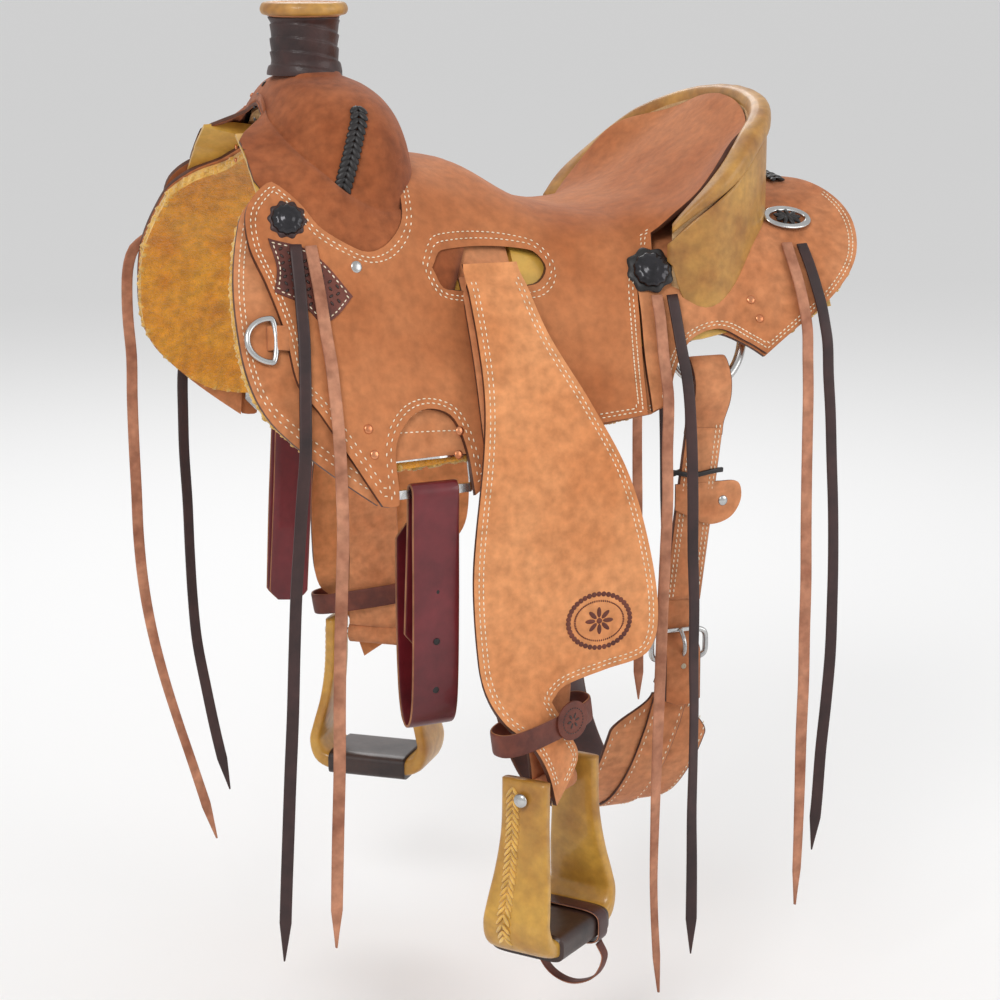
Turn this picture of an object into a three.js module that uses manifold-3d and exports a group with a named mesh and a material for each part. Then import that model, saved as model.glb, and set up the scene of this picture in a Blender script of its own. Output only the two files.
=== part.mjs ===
// A slick-fork ranch saddle with rough-out leather, in-skirt rigging, a flank cinch and saddle strings.
// Millimetres, +Z up. The horn is towards -X, the rider's left (near) side is -Y. The origin is on the
// horse's spine line under the middle of the seat.
import * as THREE from "three";
import { mergeVertices } from "three/addons/utils/BufferGeometryUtils.js";
import Module from "manifold-3d";

const wasm = await Module();
wasm.setup();

// ---- Driving sizes
const fit = 0.4; // air between two pieces that touch
const skirtLeather = 5; // thickness of one skirt
const jockeyLeather = 5; // thickness of the seat and jockey leather
const fleeceDepth = 12; // pile under each skirt
const barDepth = 22; // thickest part of each tree bar
const barFront = -305; // front tip of the bars
const barRear = 292; // rear tip of the bars
const gulletHalf = 56; // half the width of the channel over the spine
const gulletTop = 122; // underside of the fork arch
const forkLeather = 4.5; // leather drawn over the fork
const hornX = -210; // horn axis
const hornCapRadius = 41;
const hornCapDepth = 14;
const hornNeckRadius = 26;
const hornTop = 253;
const wrapDepth = 6.5; // rubbery dally wrap round the horn neck
const cantleThickness = 18; // wooden cantle behind the rim
const bindingHeight = 26; // rawhide roll on the cantle rim
const leatherWidth = 62; // stirrup leather
const leatherThickness = 5;
const fenderLeather = 4.5;
const slotCentre = [-72, 0]; // x and z of the stirrup slot
const slotLength = 126;
const slotHeight = 34;
const stirrupHeight = 182;
const stirrupHalfTop = 56; // half the outside width at the leg tops
const stirrupHalfBottom = 75;
const stirrupWall = 14; // thickness of a stirrup leg
const stirrupDepthTop = 50; // leg width at the top
const stirrupDepthBottom = 76; // tread depth
const treadThickness = 22;
const stirrupTurn = 38; // degrees each stirrup is turned from straight ahead
const boltRadius = 5;
const boltRise = stirrupHeight - 18; // bolt height over the stirrup's foot
const deeWire = 3; // radius of the breast-collar dee's wire
const deeHalf = 21; // half the height of its opening
const rigWire = 5; // radius of the flank dee's bar
const rigHalf = 45; // half width of the flank dee, bar centre to bar centre
const rigDrop = 59; // its height below the straight side
const rigMiddle = [160, -70]; // x and z of the middle of that straight side
const billetWidth = 42; // flank billet
const cinchWidth = 116; // flank cinch body at its widest
const latigoWidth = 50;
const latigoThickness = 3.6;
const stringWidth = 13;
const stringThickness = 4;
const billetThickness = 3.5; // one ply

// ---- Solids
// A closed geometry as a manifold-3d solid, turned so that its faces point outwards.
function solidOf(geometry) {
  const bare = new THREE.BufferGeometry();
  bare.setAttribute("position", geometry.getAttribute("position"));
  bare.setIndex(geometry.index);
  const merged = mergeVertices(bare, 1e-3);
  const place = merged.attributes.position;
  const index = Uint32Array.from(merged.index.array);
  const [a, b, c] = [new THREE.Vector3(), new THREE.Vector3(), new THREE.Vector3()];
  let volume = 0;
  for (let i = 0; i < index.length; i += 3) {
    a.fromBufferAttribute(place, index[i]);
    b.fromBufferAttribute(place, index[i + 1]);
    c.fromBufferAttribute(place, index[i + 2]);
    volume += a.dot(b.cross(c));
  }
  if (volume < 0)
    for (let i = 0; i < index.length; i += 3)
      [index[i + 1], index[i + 2]] = [index[i + 2], index[i + 1]];
  return new wasm.Manifold(
    new wasm.Mesh({ numProp: 3, vertProperties: place.array, triVerts: index }),
  );
}

function geometryOf(solid) {
  const mesh = solid.getMesh();
  const place = new Float32Array(mesh.numVert * 3);
  for (let i = 0; i < mesh.numVert; i++)
    place.set(mesh.vertProperties.subarray(i * mesh.numProp, i * mesh.numProp + 3), i * 3);
  const shared = new THREE.BufferGeometry();
  shared.setAttribute("position", new THREE.BufferAttribute(place, 3));
  shared.setIndex(new THREE.BufferAttribute(mesh.triVerts, 1));
  const geometry = shared.toNonIndexed();
  geometry.computeVertexNormals();
  return geometry;
}

// The largest body of a solid, without the slivers that a cut may leave.
function mainBody(solid) {
  return solid.decompose().sort((p, q) => q.volume() - p.volume())[0];
}

// A sheet: pointAt(u, v, w) takes u and v across it and w through it, each from 0 to 1.
function sheet(columns, rows, pointAt, layers = 1) {
  const geometry = new THREE.BoxGeometry(1, 1, 1, columns, rows, layers);
  const place = geometry.attributes.position;
  for (let i = 0; i < place.count; i++)
    place.setXYZ(i, ...pointAt(place.getX(i) + 0.5, place.getY(i) + 0.5, place.getZ(i) + 0.5));
  // The back is split along the same diagonals as the front, so that stacked sheets keep their gap
  const index = geometry.index;
  const back = geometry.groups[5];
  for (let i = back.start; i < back.start + back.count; i += 6) {
    index.setX(i + 2, index.getX(i + 4));
    index.setX(i + 3, index.getX(i));
  }
  return solidOf(geometry);
}

// A lofted bar: pointAt(angle, along, out) has out 0 on its middle line and 1 on its skin.
function loft(sides, steps, pointAt) {
  const geometry = new THREE.CylinderGeometry(1, 1, 1, sides, steps);
  const place = geometry.attributes.position;
  for (let i = 0; i < place.count; i++) {
    const [x, y, z] = [place.getX(i), place.getY(i), place.getZ(i)];
    place.setXYZ(i, ...pointAt(Math.atan2(z, x), y + 0.5, Math.round(Math.hypot(x, z))));
  }
  return solidOf(geometry);
}

// A closed loop of round bar through centreAt(turn), turn from 0 to 1.
function loop(radius, sides, steps, centreAt) {
  const geometry = new THREE.TorusGeometry(10, 1, sides, steps);
  const place = geometry.attributes.position;
  const at = new THREE.Vector3();
  for (let i = 0; i < place.count; i++) {
    at.fromBufferAttribute(place, i);
    const turn = (Math.atan2(at.y, at.x) / (2 * Math.PI) + 1) % 1;
    const centre = centreAt(turn);
    const next = centreAt((turn + 0.002) % 1);
    const outward = next.clone().sub(centre).normalize().cross(new THREE.Vector3(0, 1, 0));
    const out = Math.hypot(at.x, at.y) - 10;
    centre.addScaledVector(outward, out * radius);
    place.setXYZ(i, centre.x, centre.y + at.z * radius, centre.z);
  }
  return solidOf(geometry);
}

// An outline in the side view, or in plan, pushed through from low to high. A point marked 1 is a corner;
// the stretches between corners are smooth.
function outline(points, steps = 2) {
  const start = points.findIndex((p) => p[2]);
  const ring = [...points.slice(start), ...points.slice(0, start), points[start]];
  const path = [];
  let stretch = [ring[0]];
  for (const point of ring.slice(1)) {
    stretch.push(point);
    if (!point[2]) continue;
    const curve = new THREE.CatmullRomCurve3(
      stretch.map(([x, y]) => new THREE.Vector3(x, y, 0)), false, "centripetal",
    );
    const count = stretch.length === 2 ? 1 : (stretch.length - 1) * steps;
    for (let i = 0; i < count; i++) path.push(curve.getPoint(i / count));
    stretch = [point];
  }
  return new THREE.Shape(path.map((p) => new THREE.Vector2(p.x, p.y)));
}

function sidePrism(points, lowY, highY) {
  const geometry = new THREE.ExtrudeGeometry(outline(points), {
    depth: highY - lowY, bevelEnabled: false, steps: 1,
  });
  geometry.rotateX(Math.PI / 2);
  geometry.translate(0, highY, 0);
  return solidOf(geometry);
}

function planPrism(points, lowZ, highZ) {
  const geometry = new THREE.ExtrudeGeometry(outline(points), {
    depth: highZ - lowZ, bevelEnabled: false, steps: 1,
  });
  geometry.translate(0, 0, lowZ);
  return solidOf(geometry);
}

// ---- Smooth interpolation through rows of numbers
function hermite(xs, rows, x) {
  const n = xs.length;
  let i = 0;
  while (i < n - 2 && x > xs[i + 1]) i++;
  const span = xs[i + 1] - xs[i];
  const t = THREE.MathUtils.clamp((x - xs[i]) / span, -0.2, 1.2);
  const slope = (k, c) => {
    const [lo, hi] = [Math.max(k - 1, 0), Math.min(k + 1, n - 1)];
    return ((rows[hi][c] - rows[lo][c]) / (xs[hi] - xs[lo])) * span;
  };
  const [t2, t3] = [t * t, t * t * t];
  return rows[i].map(
    (_, c) =>
      (2 * t3 - 3 * t2 + 1) * rows[i][c] + (t3 - 2 * t2 + t) * slope(i, c) +
      (3 * t2 - 2 * t3) * rows[i + 1][c] + (t3 - t2) * slope(i + 1, c),
  );
}

const counting = (n) => Array.from({ length: n }, (_, i) => i);
const smoothstep = THREE.MathUtils.smoothstep;

// ---- The saddle's side: cross-sections of the skirts' outer face, from the spine line down
const sideStations = [
  [-350, [0, 158], [60, 134], [98, 112], [132, 84], [166, 38], [193, -5], [213, -55], [232, -110], [256, -212]],
  [-260, [0, 140], [60, 118], [98, 96], [132, 68], [166, 22], [190, -18], [209, -65], [229, -118], [252, -212]],
  [-150, [0, 92], [56, 74], [95, 52], [128, 26], [157, -10], [180, -48], [200, -90], [219, -135], [242, -212]],
  [-50, [0, 50], [54, 38], [94, 20], [127, -8], [154, -42], [175, -76], [192, -112], [208, -152], [229, -214]],
  [60, [0, 14], [54, 8], [95, -4], [130, -26], [158, -54], [178, -86], [192, -118], [204, -152], [222, -214]],
  [160, [0, 22], [52, 16], [96, 4], [131, -18], [160, -48], [181, -80], [194, -112], [204, -148], [214, -205]],
  [260, [0, 50], [50, 44], [93, 28], [128, 4], [156, -26], [176, -60], [189, -95], [199, -135], [208, -190]],
  [355, [0, 62], [50, 54], [91, 36], [124, 10], [150, -20], [169, -54], [181, -90], [190, -130], [198, -180]],
];
const sideXs = sideStations.map((row) => row[0]);
const sideRows = sideStations.map((row) => row.slice(1).flat());
const sideCount = sideStations[0].length - 1;

// A point on a cross-section given as flat (y, z) pairs, v from 0 at its start to 1 at its end.
function along(section, v) {
  const pairs = counting(section.length / 2).map((i) => [section[2 * i], section[2 * i + 1]]);
  return hermite(counting(pairs.length), pairs, v * (pairs.length - 1));
}

const sideAt = (x, v) => along(hermite(sideXs, sideRows, x), v);

// The v at which a falling height reaches z.
function rowAt(heightAt, z) {
  let [low, high] = [0.2, 1];
  for (let i = 0; i < 20; i++) {
    const v = (low + high) / 2;
    if (heightAt(v) > z) low = v;
    else high = v;
  }
  return low;
}

// The outward direction of a cross-section at v.
function outward(sectionAt, x, v) {
  const [y0, z0] = sectionAt(x, Math.max(v - 0.02, 0));
  const [y1, z1] = sectionAt(x, Math.min(v + 0.02, 1));
  const length = Math.hypot(y1 - y0, z1 - z0);
  return [-(z1 - z0) / length, (y1 - y0) / length];
}

function offsetPoint(sectionAt, x, v, out) {
  const [y, z] = sectionAt(x, v);
  const [ny, nz] = outward(sectionAt, x, v);
  return [y + ny * out, z + nz * out];
}

// How far a bar lifts the leather over it.
const barShape = counting(9).map((i) => [[1, 1, 1, 1, 0.62, 0.12, 0, 0, 0][i]]);
function barLift(x, v) {
  const across = Math.max(hermite(counting(9), barShape, v * 8)[0], 0);
  const lengthwise = smoothstep(x, barFront, barFront + 80) * (1 - smoothstep(x, barRear - 90, barRear));
  return barDepth * across * (0.12 + 0.88 * lengthwise);
}

const overBar = (x, v) => 2 * fit + barLift(x, v); // where leather over the bars starts, out of the skirt

// Every layer has its vertices on the same lines, so that stacked layers keep an even gap.
const gridStep = 50;
const gridRows = 8;

// A panel of one side between two offsets from the skirt's face. side is -1 for near, 1 for off;
// columns and rows are the first and last grid lines it spans.
function panel(side, low, high, columns = [-7, 7], rows = [0, gridRows]) {
  return sheet(columns[1] - columns[0], rows[1] - rows[0], (a, b, c) => {
    const x = THREE.MathUtils.lerp(columns[0], columns[1], a) * gridStep;
    const v = THREE.MathUtils.lerp(rows[0], rows[1], side < 0 ? 1 - b : b) / gridRows;
    const out = THREE.MathUtils.lerp(low(x, v), high(x, v), c);
    const [y, z] = offsetPoint(sideAt, x, v, out);
    return [x, side * Math.max(y, 0.6), z];
  });
}

// ---- Seat: half cross-sections of its top, from the middle out; the jockeys go on down the sides
const seatStations = [
  [-350, [0, 172], [66, 147], [105, 124], [141, 92]],
  [-220, [0, 150], [66, 128], [112, 104], [150, 74]],
  [-150, [0, 107], [45, 105], [88, 96], [132, 68]],
  [-66, [0, 93], [44, 90], [85, 73], [125, 42]],
  [0, [0, 57], [50, 55], [96, 45], [134, 20]],
  [60, [0, 42], [60, 42], [108, 35], [142, 12]],
  [104, [0, 46], [60, 46], [108, 38], [142, 14]],
  [150, [0, 62], [60, 60], [118, 58], [166, 64]],
  [200, [0, 98], [60, 97], [105, 99], [145, 118]],
  [256, [0, 156], [45, 153], [82, 146], [118, 140]],
];
const seatXs = seatStations.map((row) => row[0]);
const seatRows = seatStations.map((row) => row.slice(1).flat());
const seatCount = 4;
const seatRear = 258;

function seatSection(x) {
  const top = hermite(seatXs, seatRows, x);
  const [y2, z2, y3, z3] = top.slice(-4);
  const dish = smoothstep(x, 112, 150);
  const lower = [];
  for (let i = seatCount; i < sideCount; i++) {
    const v = i / (sideCount - 1);
    const [y, z] = offsetPoint(sideAt, x, v, overBar(x, v) + jockeyLeather);
    const beyond = (i - seatCount + 1) * 0.5;
    lower.push(THREE.MathUtils.lerp(y, y3 + (y3 - y2) * beyond, dish));
    lower.push(THREE.MathUtils.lerp(z, z3 + (z3 - z2) * beyond, dish));
  }
  return [...top, ...lower];
}

const seatAt = (x, v) => along(seatSection(x), v);

// A layer under the seat's face, across both sides and as many grid rows down each.
function seatLayer(columns, rows, top, bottom) {
  return sheet(columns[1] - columns[0], 2 * rows, (a, b, c) => {
    const x = Math.min(THREE.MathUtils.lerp(columns[0], columns[1], a) * gridStep, seatRear);
    const across = ((2 * b - 1) * rows) / gridRows;
    const [y, z] = offsetPoint(seatAt, x, Math.abs(across), THREE.MathUtils.lerp(-bottom, -top, c));
    return [x, Math.sign(across) * Math.max(y, 0), z];
  });
}

// The cantle rim in plan and height, from the middle round to its end on one side
const rim = [[252, 0, 153], [250, 40, 151], [243, 78, 145], [228, 110, 134], [205, 135, 117],
  [180, 153, 92], [155, 158, 66], [130, 150, 37], [110, 139, 14]];
const rimRows = [...rim.slice(1).reverse().map(([x, y, z]) => [x, -y, z]), ...rim];
const rimAt = (t) => hermite(counting(rimRows.length), rimRows, t * (rimRows.length - 1));

// The rim moved outwards in plan by a distance.
function rimOut(t, out) {
  const [x, y, z] = rimAt(t);
  const near = THREE.MathUtils.clamp(t, 0.01, 0.99);
  const [x0, y0] = rimAt(near - 0.01);
  const [x1, y1] = rimAt(near + 0.01);
  const length = Math.hypot(x1 - x0, y1 - y0);
  return [x + ((y1 - y0) / length) * out, y - ((x1 - x0) / length) * out, z];
}

// ---- The group
const saddle = new THREE.Group();
const finishes = {
  roughout: [0xb9713f, 0.95, 0], darkLeather: [0x3a2422, 0.55, 0], burgundy: [0x641f22, 0.4, 0],
  fleece: [0xd08a1e, 1, 0], rawhide: [0xb08d3a, 0.5, 0], wood: [0xc9a477, 0.8, 0],
  steel: [0xb9b9b6, 0.3, 1], concho: [0x232021, 0.45, 0.3], wrap: [0x4a2e2a, 0.85, 0],
  tread: [0x33231f, 0.45, 0], lace: [0x8a5a45, 0.9, 0],
};
function add(name, solid, finish) {
  const [color, roughness, metalness] = finishes[finish];
  const material = new THREE.MeshStandardMaterial({ color, roughness, metalness });
  const mesh = new THREE.Mesh(geometryOf(mainBody(solid)), material);
  mesh.name = name;
  saddle.add(mesh);
}

const sides = { near: -1, off: 1 };
const halfSpace = 600; // deeper than the saddle, for outlines pushed right through

// ---- Outlines in the side view (x, z)
const skirtOutline = [
  [-238, 190, 1], [-268, 96], [-300, 78], [-322, 56], [-338, 8], [-341, -42], [-333, -96], [-312, -132],
  [-219, -209, 1], [-217, -150], [-198, -118], [-160, -108], [-122, -118], [-104, -150],
  [-102, -200, 1], [-60, -176, 1], [21, -158, 1], [84, -150, 1], [104, -142, 1], [112, -112], [134, -84],
  [166, -76], [196, -88], [216, -101, 1], [262, -72], [300, -50], [338, -18], [352, 16], [346, 42],
  [326, 60], [290, 90, 1], [250, 190, 1],
];
const jockeyOutline = [
  [-290, 190, 1], [-290, 92, 1], [-316, 68], [-319, 34], [-309, 2], [-296, -45], [-289, -92], [-270, -120],
  [-216, -209, 1], [-200, -211], [-197, -156], [-180, -131], [-157, -124], [-134, -134], [-122, -165],
  [-118, -208, 1], [-60, -174, 1], [21, -154, 1], [78, -149, 1], [80, -90], [84, -28], [98, -6],
  [112, 6, 1], [112, 190, 1],
];
// What the seat leather leaves free round the foot of the fork
const forkBay = [
  [-290, 190, 1], [-294, 78], [-276, 84], [-262, 68], [-248, 48], [-217, 28], [-200, 23], [-180, 29],
  [-160, 48], [-152, 76], [-150, 100], [-150, 190, 1],
];

// ---- Fork, horn and arch
const forkSections = [
  [0, -192, 68, 146], [60, -193, 76, 144], [100, -194, 77, 138], [135, -196, 70, 124],
  [158, -198, 58, 104], [173, -202, 44, 76], [181, -206, 30, 46],
];
function forkShape(skin, topSkin = skin) {
  const zs = forkSections.map((row) => row[0]);
  const rows = forkSections.map((row) => row.slice(1));
  const top = zs[zs.length - 1] + topSkin;
  return loft(20, 7, (angle, up, out) => {
    const z = THREE.MathUtils.lerp(zs[0] - 60, top, up);
    const [x, halfX, halfY] = hermite(zs, rows, Math.min(Math.max(z - topSkin, zs[0]), zs[zs.length - 1]));
    const power = 2 / 2.35;
    const bend = (value) => Math.sign(value) * Math.abs(value) ** power;
    return [
      x + bend(Math.cos(angle)) * (halfX + skin) * out,
      bend(Math.sin(angle)) * (halfY + skin) * out,
      z,
    ];
  });
}

const archGeometry = new THREE.CylinderGeometry(gulletHalf, gulletHalf, 400, 32);
archGeometry.rotateZ(Math.PI / 2);
archGeometry.translate(-200, 0, gulletTop - gulletHalf);
const arch = solidOf(archGeometry).add(
  solidOf(new THREE.BoxGeometry(400, 2 * gulletHalf, 300).translate(-200, 0, gulletTop - gulletHalf - 150)),
);

// Everything below the top of the bars, on both sides
const flat = (value) => () => value;
const underBars = ["near", "off"]
  .map((side) => panel(sides[side], () => -140, overBar))
  .reduce((p, q) => p.add(q));

const post = (radius, lowZ, highZ) =>
  solidOf(new THREE.CylinderGeometry(radius, radius, highZ - lowZ, 32)
    .rotateX(Math.PI / 2).translate(hornX, 0, (lowZ + highZ) / 2));

const forkTop = forkSections[forkSections.length - 1][0];
const hornSocket = post(hornNeckRadius + fit, 140, 300);
const forkCore = forkShape(-forkLeather - fit).subtract(arch).subtract(underBars).subtract(hornSocket);
add("tree_fork", forkCore, "wood");
const forkSkin = forkShape(0).subtract(forkShape(-forkLeather))
  .subtract(arch).subtract(underBars).subtract(hornSocket);
add("fork_cover", forkSkin, "roughout");

const turned = (profile) =>
  solidOf(new THREE.LatheGeometry(profile.map(([r, z]) => new THREE.Vector2(r, z)), 28)
    .rotateX(Math.PI / 2).translate(hornX, 0, 0));
const capBottom = hornTop - hornCapDepth;
add("horn", turned([[0, 141], [hornNeckRadius, 141], [hornNeckRadius, capBottom - 8],
  [hornCapRadius - 9, capBottom], [hornCapRadius, capBottom + 1], [hornCapRadius + 1, hornTop - 6],
  [hornCapRadius - 1, hornTop - 1], [hornCapRadius - 6, hornTop], [0, hornTop]]), "roughout");
const wrapIn = hornNeckRadius + fit;
add("horn_wrap", turned([[wrapIn, forkTop + 1], [wrapIn + wrapDepth + 5, forkTop + 1],
  [wrapIn + wrapDepth + 1, forkTop + 10], [wrapIn + wrapDepth, forkTop + 24],
  [wrapIn + wrapDepth, capBottom - 12], [wrapIn + wrapDepth - 1, capBottom - 9], [wrapIn, capBottom - 9],
  [wrapIn, forkTop + 1]]), "wrap");

// ---- Seat with its jockeys
const slot = sidePrism([
  [slotCentre[0] - slotLength / 2, slotCentre[1] + 4, 1],
  [slotCentre[0] - slotLength / 2 + 12, slotCentre[1] - slotHeight / 2],
  [slotCentre[0] + slotLength / 2 - 16, slotCentre[1] - slotHeight / 2 - 2],
  [slotCentre[0] + slotLength / 2, slotCentre[1] - 4],
  [slotCentre[0] + slotLength / 2 - 14, slotCentre[1] + slotHeight / 2 - 4],
  [slotCentre[0] - slotLength / 2 + 14, slotCentre[1] + slotHeight / 2 + 2],
], -halfSpace, halfSpace);
const rimPlan = [
  [-400, -300, 1], [108, -300, 1],
  ...rimRows.map(([x, y], i) => [x, y, i === 0 || i === rimRows.length - 1 ? 1 : 0]),
  [108, 300, 1], [-400, 300, 1],
];
const wholeSide = sidePrism([...jockeyOutline.slice(0, -2), [112, 6, 1], [270, 6, 1], [270, 190, 1]],
  -halfSpace, halfSpace);
const seat = seatLayer([-7, 6], gridRows, 0, jockeyLeather)
  .intersect(wholeSide).intersect(planPrism(rimPlan, -400, 300))
  .subtract(sidePrism(forkBay, -halfSpace, halfSpace))
  .subtract(forkShape(fit))
  .subtract(slot);
add("seat", seat, "roughout");
const groundSeat = seatLayer([-2, 4], 2, jockeyLeather + fit, jockeyLeather + fit + 2.4)
  .intersect(planPrism(rimPlan, -400, 300))
  .subtract(forkShape(fit));
add("ground_seat", groundSeat, "steel");


// ---- A strap through points, wide along a direction that may turn on the way
function strap(points, width, thickness, cells, wideAt = () => [1, 0, 0]) {
  const path = new THREE.CatmullRomCurve3(
    points.map((p) => new THREE.Vector3(...p)), false, "centripetal",
  );
  return sheet(cells[0], cells[1], (a, b, c) => {
    const at = path.getPoint(b);
    const wide = new THREE.Vector3(...wideAt(b)).normalize();
    const face = path.getTangent(b).cross(wide).normalize();
    const spread = typeof width === "function" ? width(b) : width;
    at.addScaledVector(wide, (a - 0.5) * spread).addScaledVector(face, (c - 0.5) * thickness);
    return [at.x, at.y, at.z];
  });
}

// ---- Cantle behind the rim, and its rawhide roll
const underCantle = ["near", "off"]
  .map((side) => panel(sides[side], () => -140, (x, v) => overBar(x, v) + fit))
  .reduce((p, q) => p.add(q))
  .add(solidOf(new THREE.BoxGeometry(80, 8, 200).translate(262, 0, -42)));
const wallSpan = (a) => 0.06 + 0.88 * a;
const cantleWall = sheet(16, 2, (a, b, c) => {
  const [x, y, z] = rimOut(wallSpan(a), 2 + c * cantleThickness);
  return [x, y, THREE.MathUtils.lerp(z - 6, Math.min(z - 12, 20 + 0.1 * x) - 60, b)];
}).subtract(underCantle);
add("tree_cantle", cantleWall, "wood");
const rollHalf = cantleThickness / 2 + 3;
const binding = loft(8, 20, (angle, t, out) => {
  const taper = Math.min(1, 0.35 + 4 * Math.min(t, 1 - t));
  const [x, y, z] = rimOut(wallSpan(t), rollHalf + 2.2 + Math.cos(angle) * rollHalf * out);
  return [x, y, z - 6 + Math.sin(angle) * 0.5 * bindingHeight * taper * out];
}).subtract(sheet(18, 2, (a, b, c) => {
  const [x, y, z] = rimOut(wallSpan((18 * a - 1) / 16), 2 - fit + c * (cantleThickness + 2 * fit));
  return [x, y, z - 6 + fit - b * 60];
}));
add("cantle_binding", binding, "rawhide");

// ---- One side at a time
const channelPlan = (side) => [
  [-400, side * (gulletHalf + 4), 1], [236, side * (gulletHalf + 4), 1], [262, side, 1], [400, side, 1],
  [400, side * 400, 1], [-400, side * 400, 1],
];
const fleeceOutline = [
  [-236, 190, 1], [-266, 94], [-298, 75], [-319, 54], [-334, 8], [-337, -42], [-330, -94], [-310, -128],
  [-262, -164], [-200, -172], [-100, -168], [20, -152, 1], [80, -142, 1], [100, -108], [108, -66], [128, -54, 1],
  [208, -54, 1], [224, -90, 1], [262, -68], [298, -47], [334, -17], [348, 15], [342, 40],
  [324, 56], [290, 84, 1], [250, 190, 1],
];
const rearJockeyOutline = [
  [84, -148, 1], [104, -140, 1], [113, -111], [135, -83], [166, -75], [196, -87], [216, -99, 1],
  [262, -71], [300, -49], [337, -17], [351, 16], [345, 41], [325, 59], [290, 88, 1], [250, 190, 1],
  [116, 190, 1], [116, 8, 1], [102, -6], [87, -28], [83, -90],
];
const plateOutline = [
  [-215, -150, 1], [-196, -121], [-160, -111], [-124, -121], [-107, -150, 1], [-107, -192, 1],
  [-120, -206, 1], [-202, -206, 1], [-215, -192, 1],
];
const plateSlot = [
  [-200, -172, 1], [-120, -172, 1], [-120, -198, 1], [-200, -198, 1],
];
const fenderOutline = [
  [-104, -8, 1], [-105, -118], [-126, -277], [-122, -380], [-110, -428], [-90, -452], [-64, -520, 1],
  [-26, -490], [-22, -476], [-36, -452], [-50, -418, 1], [-34, -404], [10, -392], [54, -380], [67, -353],
  [63, -292], [39, -199], [5, -128], [-30, -60], [-48, -8, 1],
];
// Where a fender hangs, as (out from the spine, height)
const hang = [[177, -4], [188, -24], [206, -58], [225, -100], [240, -145], [250, -190], [256, -250],
  [260, -330], [263, -420], [265, -530]];
const hangXs = hang.map((p) => -p[1]);
const hangRows = hang.map((p) => [p[0]]);
const hangAt = (z) => hermite(hangXs, hangRows, -z)[0];
const hingeHeight = -6;
const twistTop = -375;
const twistFoot = -500;
const leatherX = -76; // middle of the stirrup leather at the slot
const neckMiddle = -44; // x of the fender's neck where it reaches the stirrup
const stirrups = { near: [neckMiddle, -488 - stirrupHeight], off: [-58, -468 - stirrupHeight] }; // x and foot of each stirrup
const stirrupY = (name) => hangAt(stirrups[name][1] + boltRise) - 8; // out from the spine
const neckDrop = (z) => 8 + 8 * (1 - smoothstep(z, -448, -405)); // how far the neck stands off the leather's line

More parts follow.
